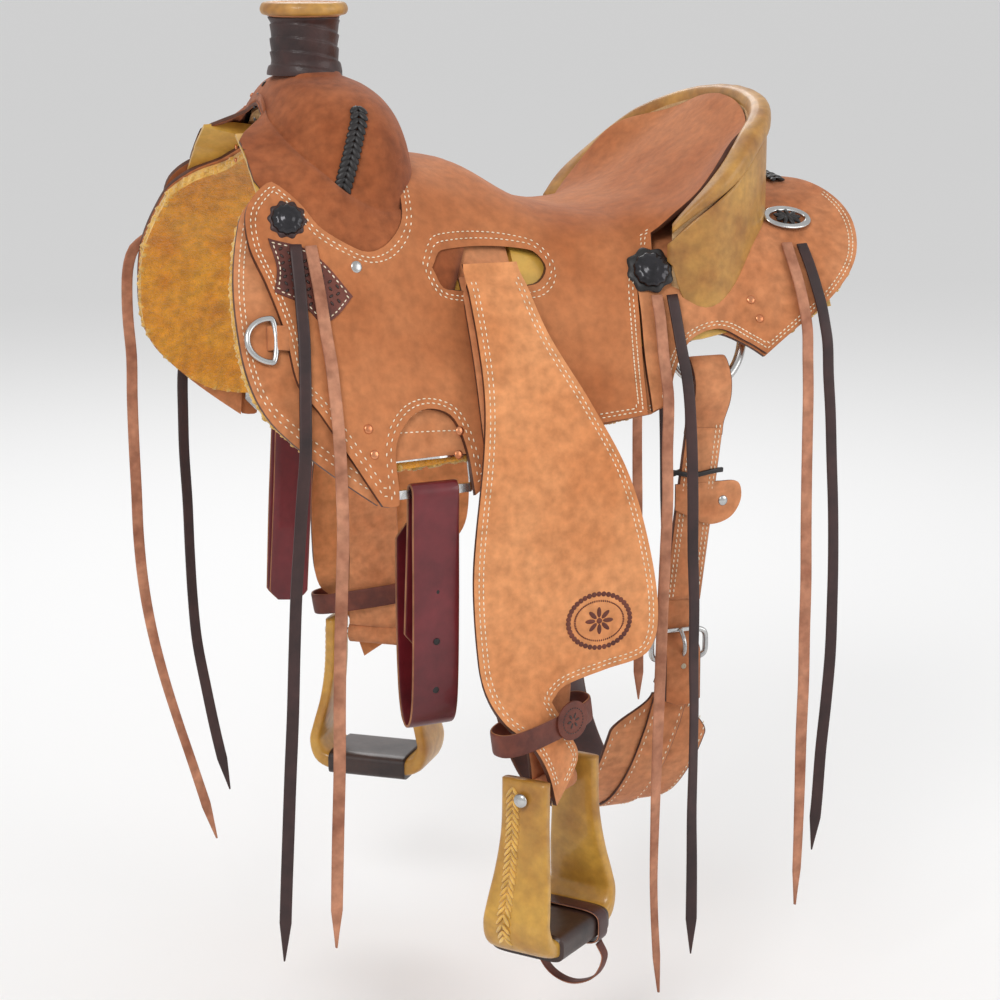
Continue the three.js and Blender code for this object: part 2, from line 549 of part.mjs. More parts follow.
for (const [name, side] of Object.entries(sides)) {
  const mine = (points) => (side < 0
    ? sidePrism(points, -halfSpace, -0.6)
    : sidePrism(points, 0.6, halfSpace));
  const both = [side * 400, side * 0.6].sort((p, q) => p - q);
  const channel = planPrism(channelPlan(side), -400, 300);

  // Skirt, fleece and rear jockey
  add(`skirt_${name}`, panel(side, flat(-skirtLeather), flat(0))
    .intersect(mine(skirtOutline)).intersect(channel), "roughout");
  add(`fleece_${name}`, panel(side,
    flat(-skirtLeather - fit - fleeceDepth), flat(-skirtLeather - fit))
    .intersect(mine(fleeceOutline)).intersect(channel), "fleece");
  const behindRim = planPrism([
    ...counting(17).map((i) => [...rimOut(i / 16, cantleThickness + 2 + 2 * fit).slice(0, 2), i % 16 ? 0 : 1]),
  ].concat([[60, 160, 1], [60, -160, 1]]), -100, 300);
  add(`rear_jockey_${name}`, panel(side, overBar, (x, v) => overBar(x, v) + jockeyLeather, [1, 7])
    .intersect(mine(rearJockeyOutline)).subtract(behindRim), "roughout");

  // Stirrup leather round the bar: out of the slot, over the bar and back under it
  const girth = 420; // length of a cross-section, to lay the loop's path out flat
  const outerPly = (v) => [v * girth, fit + barLift(leatherX, v) - leatherThickness / 2 - 2.5];
  const innerPly = (v) => [v * girth, fit + 0.6 + leatherThickness / 2];
  const loopPath = new THREE.CatmullRomCurve3([
    ...counting(6).map((i) => outerPly(0.51 - 0.075 * i)), [0.115 * girth, fit + barDepth / 2],
    ...counting(6).map((i) => innerPly(0.135 + 0.065 * i)),
  ].map(([s, out]) => new THREE.Vector3(s, out, 0)), false, "centripetal");
  const wrapped = (width, thickness, trim = 0) => sheet(1, 16, (a, b, c) => {
    const t = THREE.MathUtils.clamp(b, trim, 1 - trim);
    const [at, ahead] = [loopPath.getPoint(t), loopPath.getTangent(t)];
    const x = leatherX + (a - 0.5) * width;
    const [s, out] = [at.x - ahead.y * (c - 0.5) * thickness, at.y + ahead.x * (c - 0.5) * thickness];
    const [y, z] = offsetPoint(sideAt, x, s / girth, out);
    return [x, side * y, z];
  });
  add(`leather_loop_${name}`, wrapped(leatherWidth, leatherThickness - 1, 0.02), "roughout");

  // Tree bar
  const bar = panel(side, flat(fit), (x, v) => fit + barLift(x, v), [-6, 6], [1, 5]);
  add(`tree_bar_${name}`, bar.subtract(wrapped(leatherWidth + 8, leatherThickness + 1.6))
    .subtract(seatLayer([-6, 6], 6, -20, jockeyLeather + 2 * fit))
    .subtract(seatLayer([-2, 4], 3, 0, jockeyLeather + 3 * fit + 2.4)), "wood");

  // Rigging plate in the skirt's arch
  add(`rigging_plate_${name}`, panel(side, flat(-4.5), flat(-0.8), [-5, -2], [6, gridRows])
    .intersect(mine(plateOutline)).subtract(mine(plateSlot)), "steel");

  // Fender and leather, turned towards the foot as the stirrup is
  const [footX, footZ] = stirrups[name];
  const boltZ = footZ + boltRise;
  const footY = stirrupY(name);
  const turnAt = (z) => THREE.MathUtils.degToRad(stirrupTurn) * (1 - smoothstep(z, twistFoot, twistTop));
  const middleX = (z) => THREE.MathUtils.lerp(footX, leatherX, smoothstep(z, twistFoot, -120));
  const twisted = (x, out, z) => {
    const turn = turnAt(z);
    const [dx, dy] = [x - middleX(z), out - (hangAt(z) - 8)];
    return [
      middleX(z) + dx * Math.cos(turn) + dy * Math.sin(turn),
      side * (hangAt(z) - 8 + dy * Math.cos(turn) - dx * Math.sin(turn)),
      z,
    ];
  };
  const fenderBlank = sheet(4, 16, (a, b, c) => {
    const z = THREE.MathUtils.lerp(-524, hingeHeight - 1, b);
    const out = hangAt(z) - 8 + neckDrop(z) + (c - 0.5) * fenderLeather;
    return [THREE.MathUtils.lerp(-130, 72, a), side * out, z];
  }).intersect(mine(fenderOutline));
  const turnedFender = fenderBlank.getMesh();
  const fenderPlace = turnedFender.vertProperties;
  const fenderStep = turnedFender.numProp;
  const fenderGeometry = new THREE.BufferGeometry();
  const moved = new Float32Array(turnedFender.numVert * 3);
  for (let i = 0; i < turnedFender.numVert; i++) {
    const [x, y, z] = fenderPlace.subarray(i * fenderStep, i * fenderStep + 3);
    const shift = (footX - neckMiddle) * (1 - smoothstep(z, twistFoot, -120));
    moved.set(twisted(x + shift, side * y, z), i * 3);
  }
  fenderGeometry.setAttribute("position", new THREE.BufferAttribute(moved, 3));
  fenderGeometry.setIndex(new THREE.BufferAttribute(turnedFender.triVerts, 1));
  add(`fender_${name}`, solidOf(fenderGeometry), "roughout");

  // Stirrup frame: u along the legs' spread, w through the tread, both turned
  const turn = THREE.MathUtils.degToRad(stirrupTurn);
  const stirrupFrame = new THREE.Matrix4().makeBasis(
    new THREE.Vector3(Math.cos(turn), -side * Math.sin(turn), 0),
    new THREE.Vector3(Math.sin(turn), side * Math.cos(turn), 0),
    new THREE.Vector3(0, 0, 1),
  ).setPosition(footX, side * footY, footZ);
  const inStirrup = (geometry) => solidOf(geometry.applyMatrix4(stirrupFrame));
  const legs = (points, depth) => new THREE.ExtrudeGeometry(outline(points), {
    depth, bevelEnabled: false,
  }).rotateX(Math.PI / 2).translate(0, depth / 2, 0);
  const [halfTop, halfFoot, wall] = [stirrupHalfTop, stirrupHalfBottom, stirrupWall];
  const bow = inStirrup(legs([
    [-halfTop, stirrupHeight, 1], [-halfTop - 1, 130], [-halfTop - 9, 70], [-halfFoot, 34], [-halfFoot + 14, 6],
    [-52, 0, 1], [52, 0, 1], [halfFoot - 14, 6], [halfFoot, 34], [halfTop + 9, 70], [halfTop + 1, 130],
    [halfTop, stirrupHeight, 1], [halfTop - wall, stirrupHeight, 1], [halfTop - wall + 1, 130],
    [halfTop - wall + 9, 70], [halfFoot - wall, 40], [52, treadThickness, 1], [-52, treadThickness, 1],
    [-halfFoot + wall, 40], [-halfTop + wall - 9, 70], [-halfTop + wall - 1, 130],
    [-halfTop + wall, stirrupHeight, 1],
  ], 120)).intersect(inStirrup(new THREE.ExtrudeGeometry(outline([
    [-stirrupDepthBottom / 2, -1, 1], [-stirrupDepthBottom / 2 + 2, 40], [-stirrupDepthTop / 2 - 2, 120],
    [-stirrupDepthTop / 2, stirrupHeight + 1, 1], [stirrupDepthTop / 2, stirrupHeight + 1, 1],
    [stirrupDepthTop / 2 + 2, 120], [stirrupDepthBottom / 2 - 2, 40], [stirrupDepthBottom / 2, -1, 1],
  ]), { depth: 300, bevelEnabled: false }).applyMatrix4(new THREE.Matrix4().makeBasis(
    new THREE.Vector3(0, 1, 0), new THREE.Vector3(0, 0, 1), new THREE.Vector3(1, 0, 0),
  )).translate(-150, 0, 0)));
  const rod = (radius, halfLength) => inStirrup(
    new THREE.CylinderGeometry(radius, radius, 2 * halfLength, 12).rotateZ(Math.PI / 2).translate(0, 0, boltRise));
  add(`stirrup_${name}`, bow.subtract(rod(boltRadius + fit, 90)), "rawhide");
  add(`stirrup_bolt_${name}`, rod(boltRadius, halfTop + 4), "steel");
  const cover = (grow, halfU) => inStirrup(new THREE.BoxGeometry(
    2 * halfU, stirrupDepthBottom + 2 * grow, treadThickness + 2 * grow).translate(0, 0, treadThickness / 2));
  add(`tread_cover_${name}`, cover(3.4, 46).subtract(cover(fit, 60)), "tread");

  // Stirrup leather from the slot to the bolt
  const leatherFoot = boltZ + 11;
  const leather = sheet(2, 18, (a, b, c) => {
    const z = THREE.MathUtils.lerp(leatherFoot, hingeHeight - 1, b);
    const back = fenderLeather / 2 + 1.6 + leatherThickness * 0.7;
    const x = middleX(z) + (a - 0.5) * leatherWidth;
    return twisted(x, hangAt(z) - back + (c - 0.5) * leatherThickness * 1.4, z);
  });
  const sleeve = inStirrup(new THREE.CylinderGeometry(boltRadius + 7, boltRadius + 7, leatherWidth, 14)
    .rotateZ(Math.PI / 2).translate(0, 0, boltRise));
  add(`stirrup_leather_${name}`, leather.add(sleeve).subtract(rod(boltRadius + 0.8, 90)), "roughout");

  // Hobble strap round the fender's neck
  const hobbleZ = -440;
  const hobbleTurn = new THREE.Matrix4().makeRotationZ(-side * turnAt(hobbleZ) * 1);
  const hobbleTilt = new THREE.Matrix4().makeRotationY(THREE.MathUtils.degToRad(-9));
  const oblong = (grow) => {
    const shape = new THREE.Shape();
    const [halfL, halfD] = [58 + grow, 19 + grow];
    shape.absarc(halfL - halfD, 0, halfD, -Math.PI / 2, Math.PI / 2);
    shape.absarc(-halfL + halfD, 0, halfD, Math.PI / 2, 1.5 * Math.PI);
    return new THREE.ExtrudeGeometry(shape, { depth: 24 + (grow ? 0 : 20), bevelEnabled: false, curveSegments: 5 })
      .translate(0, 0, -12 - (grow ? 0 : 10))
      .applyMatrix4(hobbleTilt).applyMatrix4(hobbleTurn)
      .translate(middleX(hobbleZ) - 11, side * (hangAt(hobbleZ) + 1), hobbleZ);
  };
  add(`hobble_strap_${name}`, solidOf(oblong(3)).subtract(solidOf(oblong(0))), "darkLeather");
}

// ---- Rigging straps
// A strap folded over a bar: round in section above the bar, both plies meeting below it, then doubled
// down to its foot. bar is [x, y, z]; foot is where the doubled part ends, and tilt leans the fold's top.
function folded(bar, foot, width, ply, gapY, rise, meet, tilt = 0) {
  const [x, y, z] = bar;
  const lean = (foot[0] - x) / (foot[2] - z);
  const slope = (foot[1] - y) / (foot[2] - z);
  const at = (dy, dz) => [x + lean * Math.min(dz, 0), y + dy + (dz > 0 ? tilt : slope) * dz, z + dz];
  const fold = strap([
    at(-ply / 2, -meet - 12), at(-ply / 2, -meet), at(-gapY, -meet * 0.35), at(-gapY, rise * 0.25),
    at(-gapY * 0.62, rise * 0.82), at(0, rise), at(gapY * 0.62, rise * 0.82), at(gapY, rise * 0.25),
    at(gapY, -meet * 0.35), at(ply / 2, -meet), at(ply / 2, -meet - 12),
  ], width, ply, [1, 18]);
  return fold.add(strap([at(0, -meet - 4), at(0, -meet - 12), foot], width, 2 * ply + 0.2, [1, 4]));
}

// Latigo and off billet, each doubled round the bottom bar of its rigging plate
const plateBar = [-160, 0, -202];
const faceAt = (x, z) => sideAt(x, rowAt((v) => sideAt(x, v)[1], z))[0];
const plateY = faceAt(plateBar[0], plateBar[2]) - 2.6;
const plateSlope = (faceAt(plateBar[0] + 20, plateBar[2]) - faceAt(plateBar[0] - 20, plateBar[2])) / 40;
const latigoPath = [
  [-22, -158], [-16, -100], [-9, -30], [-7.6, 0], [-5.2, 5.6], [0, 8], [5.2, 5.6], [7.6, 0], [7, -30], [6, -120],
  [2, -200], [-5, -228], [-17, -238], [-31, -230], [-40, -200], [-45, -130], [-44, -40],
];
add("latigo_near", strap(latigoPath.map(([y, z]) => [plateBar[0], -(plateY + y), plateBar[2] + z]),
  latigoWidth, latigoThickness, [1, 38], () => [1, -plateSlope, 0]), "burgundy");
const offBilletPath = [
  [-12, -224], [-12, -100], [-9, -30], [-7.6, 0], [-5.2, 5.6], [0, 8], [5.2, 5.6], [7.6, 0], [7, -30], [6, -120],
  [0, -224],
];
add("billet_off", strap(offBilletPath.map(([y, z]) => [plateBar[0] + z * 0.06, plateY + y, plateBar[2] + z]),
  latigoWidth - 6, latigoThickness, [1, 28], () => [1, plateSlope, 0]), "burgundy");

// Flank rigging: dee in the skirt, billet over it, buckle, and the cinch that joins both sides
const deeFoot = [rigMiddle[0], 179, rigMiddle[1] - rigDrop];
const deeLean = 0.36; // how much further out the dee's foot is than its top, per height
const flankX = { near: 140, off: 104 }; // x of each buckle
const buckleY = 158;
const buckleZ = -408;
const buckleHalf = [31, 16];
const buckleBar = 3;
for (const [name, side] of Object.entries(sides)) {
  add(`flank_dee_${name}`, loop(rigWire, 8, 22, (turn) => {
    const angle = 2 * Math.PI * turn;
    const z = Math.sin(angle) * (Math.sin(angle) < 0 ? rigDrop : 5);
    return new THREE.Vector3(rigMiddle[0] + rigHalf * Math.cos(angle),
      side * (deeFoot[1] - deeLean * (z + rigDrop)), rigMiddle[1] + z);
  }), "steel");
  const billetTop = [rigMiddle[0], side * deeFoot[1], deeFoot[2]];
  const buckleAt = [flankX[name], side * buckleY, buckleZ];
  const [x, y] = buckleAt;
  const out = (d, z) => [x, y + side * d, buckleZ + z];
  const doubled = [x + 2, y + side * 1, buckleZ + 50];
  const tail = strap([doubled, out(-4, 30), out(-5.6, 18), out(-3, 9), out(4, 3), out(10.4, -4), out(11.4, -16),
    out(11.6, -30), out(12, -62)], billetWidth - 2, billetThickness, [1, 16]);
  add(`flank_billet_${name}`, folded(billetTop, doubled, billetWidth, billetThickness,
    rigWire + 5.5, 27, 40, -side * deeLean).add(tail), "roughout");
  add(`flank_buckle_${name}`, loop(buckleBar, 6, 20, (turn) => {
    const angle = 2 * Math.PI * turn;
    const corner = (value) => Math.sign(value) * Math.abs(value) ** 0.45;
    return new THREE.Vector3(x + buckleHalf[0] * corner(Math.cos(angle)), y,
      buckleZ + buckleHalf[1] * corner(Math.sin(angle)));
  }), "steel");
}
const cinchPath = [
  [132, -154, -462], [126, -144, -500], [118, -122, -550], [112, -84, -594], [108, -40, -616], [106, 0, -620],
  [104, 40, -616], [101, 84, -594], [98, 122, -550], [98, 144, -500], [99, 154, -462],
];
const cinchBody = strap(cinchPath, (b) => THREE.MathUtils.lerp(billetWidth, cinchWidth,
  smoothstep(Math.min(b, 1 - b), 0, 0.1)), 5, [1, 26]);
const cinchEnd = (name) => folded([flankX[name], sides[name] * buckleY, buckleZ - buckleHalf[1]],
  cinchPath[name === "near" ? 0 : cinchPath.length - 1], billetWidth, billetThickness, buckleBar + 3, 6, 16);
add("flank_cinch", cinchBody.add(cinchEnd("near")).add(cinchEnd("off")), "roughout");

// ---- Metal on the leather
// The frame that stands on a surface of a side at x and height z, its third axis outwards.
function seatOn(side, sectionAt, x, z, out) {
  const at = (px, v) => new THREE.Vector3(px, ...offsetPoint(sectionAt, px, v, out(px, v)));
  const v = rowAt((w) => at(x, w).z, z);
  const here = at(x, v);
  const lengthwise = at(x + 5, v).sub(here).normalize();
  const normal = lengthwise.clone().cross(at(x, v + 0.02).sub(here)).normalize();
  const flip = (p) => new THREE.Vector3(p.x, side * p.y, p.z);
  const [up, ahead] = [flip(normal), flip(lengthwise)];
  return new THREE.Matrix4().makeBasis(ahead, up.clone().cross(ahead), up).setPosition(flip(here));
}
const onJockey = (gap) => (x, v) => overBar(x, v) + jockeyLeather + gap;
const dome = (radius) => new THREE.LatheGeometry([[0, 0], [radius, 0], [radius, 2], [radius * 0.8, 3.5],
  [radius * 0.62, 6], [radius * 0.3, 7.6], [0, 8]].map(([r, z]) => new THREE.Vector2(r, z)), 16)
  .rotateX(Math.PI / 2);
const ovalRing = (halfX, halfY, wide) => {
  const shape = new THREE.Shape();
  shape.absellipse(0, 0, halfX, halfY, 0, 2 * Math.PI);
  const hole = new THREE.Path();
  hole.absellipse(0, 0, halfX - wide, halfY - wide, 0, 2 * Math.PI);
  shape.holes.push(hole);
  return new THREE.ExtrudeGeometry(shape, { depth: 3, bevelEnabled: false, curveSegments: 14 });
};
for (const [name, side] of Object.entries(sides)) {
  add(`front_concho_${name}`, solidOf(dome(15).applyMatrix4(seatOn(side, seatAt, -279, 56, flat(1.4)))), "concho");
  add(`rear_concho_${name}`, solidOf(dome(18).applyMatrix4(seatOn(side, seatAt, 99, -10, flat(9.5)))), "concho");
  add(`ring_concho_${name}`, solidOf(ovalRing(29, 17, 7)
    .applyMatrix4(seatOn(side, sideAt, 274, 30, onJockey(3.4)))), "steel");
  const deeAt = seatOn(side, sideAt, -318, -50, flat(deeWire + 0.8));
  add(`breast_dee_${name}`, loop(deeWire, 6, 18, (turn) => {
    const angle = 2 * Math.PI * turn;
    const spread = Math.cos(angle) * (Math.cos(angle) < 0 ? deeHalf + 3 : 4);
    return new THREE.Vector3(spread + 8, 0, deeHalf * Math.sin(angle));
  }).transform(new THREE.Matrix4().multiplyMatrices(deeAt,
    new THREE.Matrix4().makeRotationX(side * Math.PI / 2)).toArray()), "steel");
}

// ---- Tread strap, buckled round the near stirrup's tread
const nearTurn = THREE.MathUtils.degToRad(stirrupTurn);
const ring = (width, grow) => solidOf(new THREE.BoxGeometry(width,
  stirrupDepthBottom + 2 * (4 + grow), treadThickness + 2 * (4 + grow))
  .translate(30, 0, treadThickness / 2).rotateZ(nearTurn)
  .translate(stirrups.near[0], -stirrupY("near"), stirrups.near[1]));
add("tread_strap_near", ring(18, 2.4).subtract(ring(40, 0)), "darkLeather");

// ---- Saddle strings: flat thongs that hang free from the conchos
const strings = {
  string_near_front_dark: [
    [-276, -180, 34], [-277, -190, 14], [-278, -200, -6], [-279, -208, -26], [-280, -217, -48],
    [-282, -225, -69], [-284, -232, -90], [-286, -238, -111], [-288, -244, -134], [-290, -249, -158],
    [-294, -251, -192], [-298, -252, -235], [-302, -251, -287], [-305, -251, -344], [-308, -252, -405],
    [-312, -253, -467], [-315, -252, -528], [-318, -251, -590], [-321, -251, -655],
  ],
  string_near_front_light: [
    [-261, -180, 32], [-260, -190, 12], [-259, -199, -8], [-258, -207, -30], [-257, -215, -52],
    [-256, -224, -73], [-256, -232, -94], [-256, -239, -115], [-256, -245, -137], [-256, -249, -160],
    [-256, -252, -188], [-256, -254, -229], [-258, -254, -286], [-260, -253, -342], [-262, -254, -403],
    [-263, -254, -465], [-265, -253, -526], [-267, -253, -587], [-269, -254, -648],
  ],
  string_near_rear_light: [
    [100, -178, -34], [100, -186, -52], [100, -192, -72], [99, -199, -91], [99, -206, -111], [99, -212, -131],
    [98, -215, -154], [97, -216, -188], [98, -216, -232], [97, -215, -286], [95, -215, -345], [94, -214, -404],
    [92, -215, -463], [90, -216, -522], [89, -216, -581], [89, -215, -640], [91, -214, -684], [94, -214, -729],
    [97, -214, -770],
  ],
  string_near_rear_dark: [
    [116, -180, -34], [117, -187, -52], [118, -194, -72], [119, -201, -91], [121, -207, -111],
    [123, -210, -134], [125, -211, -163], [127, -211, -197], [129, -210, -241], [130, -210, -294],
    [133, -209, -350], [133, -210, -407], [134, -211, -460], [134, -211, -519], [134, -210, -578],
    [135, -210, -631], [135, -211, -685], [135, -211, -733],
  ],
  string_near_back_dark: [
    [277, -149, 6], [278, -161, -8], [279, -171, -22], [281, -178, -37], [283, -185, -53], [285, -189, -70],
    [287, -193, -91], [288, -195, -124], [291, -196, -163], [294, -196, -212], [298, -195, -266],
    [300, -195, -321], [301, -194, -370], [300, -195, -424], [296, -196, -478], [292, -195, -532],
    [289, -195, -589], [285, -194, -643],
  ],
  string_near_back_light: [
    [259, -150, 8], [259, -163, -8], [260, -174, -24], [261, -182, -40], [262, -189, -58], [264, -192, -78],
    [264, -194, -104], [265, -195, -139], [265, -196, -184], [265, -197, -233], [266, -197, -288],
    [268, -196, -342], [268, -196, -397], [268, -197, -451], [267, -197, -511], [267, -197, -575],
    [267, -196, -640], [266, -195, -703],
  ],
  string_off_front_light: [
    [-291, 184, 36], [-293, 189, 27], [-299, 192, 19], [-309, 194, 13], [-321, 194, 8], [-332, 196, 0],
    [-345, 201, -12], [-351, 205, -32], [-353, 206, -58], [-353, 205, -90], [-351, 203, -130],
    [-352, 202, -175], [-352, 201, -225], [-351, 201, -278], [-350, 202, -332], [-346, 203, -386],
    [-338, 204, -440], [-326, 204, -495], [-312, 203, -548], [-297, 202, -600], [-283, 201, -650],
    [-271, 201, -694],
  ],
  string_off_front_dark: [
    [-275, 180, 34], [-277, 190, 14], [-279, 200, -6], [-280, 208, -26], [-281, 217, -48], [-282, 225, -70],
    [-282, 233, -93], [-283, 239, -116], [-283, 244, -140], [-284, 249, -167], [-284, 251, -204],
    [-284, 251, -250], [-282, 250, -307], [-281, 250, -364], [-279, 251, -419], [-275, 252, -472],
    [-266, 252, -528], [-255, 251, -590], [-241, 251, -655],
  ],
  string_off_back_light: [
    [258, 150, 8], [258, 163, -8], [258, 174, -24], [257, 182, -40], [256, 189, -58], [256, 194, -80],
    [253, 196, -106], [251, 196, -140], [250, 197, -185], [249, 197, -234], [249, 196, -285], [250, 196, -335],
    [251, 197, -390], [252, 197, -440], [253, 196, -490], [254, 196, -540], [254, 195, -585],
  ],
  string_off_back_dark: [
    [277, 149, 6], [278, 161, -8], [279, 171, -22], [280, 178, -37], [281, 185, -53], [282, 189, -70],
    [282, 192, -92], [282, 194, -125], [282, 195, -165], [282, 195, -214], [283, 194, -255], [284, 194, -295],
    [285, 195, -335], [286, 195, -375], [286, 194, -412], [286, 194, -450],
  ],
};
const [halfW, halfT] = [stringWidth / 2, stringThickness / 2];
const thong = new THREE.Shape([
  [halfW, halfT / 2], [halfW - 1.5, halfT], [-halfW + 1.5, halfT], [-halfW, halfT / 2],
  [-halfW, -halfT / 2], [-halfW + 1.5, -halfT], [halfW - 1.5, -halfT], [halfW, -halfT / 2],
].map(([x, y]) => new THREE.Vector2(x, y)));
for (const [name, points] of Object.entries(strings)) {
  const extrudePath = new THREE.CatmullRomCurve3(
    points.map((p) => new THREE.Vector3(...p)), false, "centripetal",
  );
  const steps = Math.ceil(extrudePath.getLength() / (3 * stringWidth));
  add(name, solidOf(new THREE.ExtrudeGeometry(thong, { steps, bevelEnabled: false, extrudePath })),
    name.endsWith("dark") ? "darkLeather" : "lace");
}

export default saddle;
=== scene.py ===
# A rough-out ranch saddle: detailed leather, fleece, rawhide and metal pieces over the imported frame.
import bpy, bmesh, math, random
from mathutils import Vector, Matrix, noise


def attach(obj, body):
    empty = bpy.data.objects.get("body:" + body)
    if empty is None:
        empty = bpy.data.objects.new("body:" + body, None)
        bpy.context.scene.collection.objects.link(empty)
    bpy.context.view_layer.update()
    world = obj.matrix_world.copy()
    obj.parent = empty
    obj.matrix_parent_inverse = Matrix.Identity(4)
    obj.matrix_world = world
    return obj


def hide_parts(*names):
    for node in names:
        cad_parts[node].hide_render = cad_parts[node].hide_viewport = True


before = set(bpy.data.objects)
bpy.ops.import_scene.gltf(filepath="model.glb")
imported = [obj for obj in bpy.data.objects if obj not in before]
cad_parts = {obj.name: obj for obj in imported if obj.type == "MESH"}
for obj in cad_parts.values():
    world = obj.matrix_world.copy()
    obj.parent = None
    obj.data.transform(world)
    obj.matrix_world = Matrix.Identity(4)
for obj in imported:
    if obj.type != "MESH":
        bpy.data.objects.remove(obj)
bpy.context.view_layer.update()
scene = bpy.context.scene
print("frame loaded")

# camera, light and floor
view = {"target": (0, 0, -0.275), "back": (-0.34918, -0.90965, 0.22495), "distance": 2.7, "lens": 90.4}
cameraData = bpy.data.cameras.new("studioCamera")
camera = bpy.data.objects.new("studioCamera", cameraData)
scene.collection.objects.link(camera)
cameraData.lens = view["lens"]
cameraData.sensor_width = 36
camera.location = Vector(view["target"]) + Vector(view["back"]) * view["distance"]
camera.rotation_euler = Vector(view["back"]).to_track_quat("Z", "Y").to_euler()
scene.camera = camera
scene.view_settings.view_transform = "Standard"
world = bpy.data.worlds.new("paleRoom")
scene.world = world
world.use_nodes = True
world.node_tree.nodes["Background"].inputs["Color"].default_value = (1, 1, 1, 1)
world.node_tree.nodes["Background"].inputs["Strength"].default_value = 0.72


def softLight(name, place, size, power):
    lamp = bpy.data.lights.new(name, "AREA")
    lamp.shape = "DISK"
    lamp.size = size
    lamp.energy = power
    holder = bpy.data.objects.new(name, lamp)
    scene.collection.objects.link(holder)
    holder.location = place
    aim = Vector(place) - Vector((0, 0, -0.2))
    holder.rotation_euler = aim.to_track_quat("Z", "Y").to_euler()


softLight("keyLight", (-2.2, -2.6, 2.3), 1.6, 62)
softLight("fillLight", (2.6, -2.2, 0.9), 2.2, 26)
softLight("rimLight", (0.6, 2.8, 2.2), 1.8, 40)


bpy.ops.mesh.primitive_plane_add(size=160, location=(0, 0, -0.84))
floor = bpy.context.object
floor.name = "paleFloor"


# small tools: smooth rows of numbers, meshes and objects
def hermite(xs, rows, x):
    n = len(xs)
    i = 0
    while i < n - 2 and x > xs[i + 1]:
        i += 1
    span = xs[i + 1] - xs[i]
    t = min(max((x - xs[i]) / span, -0.2), 1.2)

    def slope(k, c):
        lo, hi = max(k - 1, 0), min(k + 1, n - 1)
        return (rows[hi][c] - rows[lo][c]) / (xs[hi] - xs[lo]) * span

    t2, t3 = t * t, t * t * t
    return [(2 * t3 - 3 * t2 + 1) * rows[i][c] + (t3 - 2 * t2 + t) * slope(i, c)
            + (3 * t2 - 2 * t3) * rows[i + 1][c] + (t3 - t2) * slope(i + 1, c) for c in range(len(rows[i]))]


def smoothStep(x, low, high):
    t = min(max((x - low) / (high - low), 0), 1)
    return t * t * (3 - 2 * t)


def mix(a, b, t):
    return a + (b - a) * t


def along(points, count):  # evenly spaced places on a smooth line through points
    rows = [list(p) for p in points]
    xs = [0]
    for a, b in zip(rows, rows[1:]):
        xs.append(xs[-1] + max(math.dist(a, b), 1e-6))
    return [hermite(xs, rows, xs[-1] * i / (count - 1)) for i in range(count)]


def outlineThrough(points, step=6):  # closed outline; a third number 1 marks a corner
    first = next(i for i, p in enumerate(points) if len(p) > 2)
    ring = points[first:] + points[:first] + [points[first]]
    path, stretch = [], [ring[0]]
    for point in ring[1:]:
        stretch.append(point)
        if len(point) < 3:
            continue
        flat = [(p[0], p[1]) for p in stretch]
        length = sum(math.dist(a, b) for a, b in zip(flat, flat[1:]))
        path += along(flat, max(int(length / step), 1) + 1)[:-1]
        stretch = [point]
    return path


def newPiece(name, bm, body, materials, replaces=(), smooth=True):
    mesh = bpy.data.meshes.new(name)
    bm.to_mesh(mesh)
    bm.free()
    mesh.transform(Matrix.Scale(0.001, 4))
    piece = bpy.data.objects.new(name, mesh)
    scene.collection.objects.link(piece)
    for finish in materials:
        mesh.materials.append(finish)
    if smooth:
        mesh.shade_smooth()
    if replaces:
        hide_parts(*replaces)
    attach(piece, body)
    return piece


def finishEdges(piece, width=0.0009, segments=2, angle=50):
    bevel = piece.modifiers.new("softEdges", "BEVEL")
    bevel.width = width
    bevel.segments = segments
    bevel.limit_method = "ANGLE"
    bevel.angle_limit = math.radians(angle)
    bevel.use_clamp_overlap = True
    return piece


def sheetMesh(columns, rows, place, closedAcross=False, caps=False, paint=None):  # a grid whose points place(a, b) sets
    bm = bmesh.new()
    bmesh.ops.create_grid(bm, x_segments=columns, y_segments=rows, size=0.5)
    if paint:
        for face in bm.faces:
            middle = face.calc_center_median()
            face.material_index = paint(middle.x + 0.5, middle.y + 0.5)
    for vert in bm.verts:
        vert.co = place(vert.co.x + 0.5, vert.co.y + 0.5)
    if closedAcross:
        bmesh.ops.remove_doubles(bm, verts=bm.verts, dist=0.02)
        if caps:
            bmesh.ops.holes_fill(bm, edges=bm.edges, sides=0)
    bmesh.ops.recalc_face_normals(bm, faces=bm.faces)
    return bm


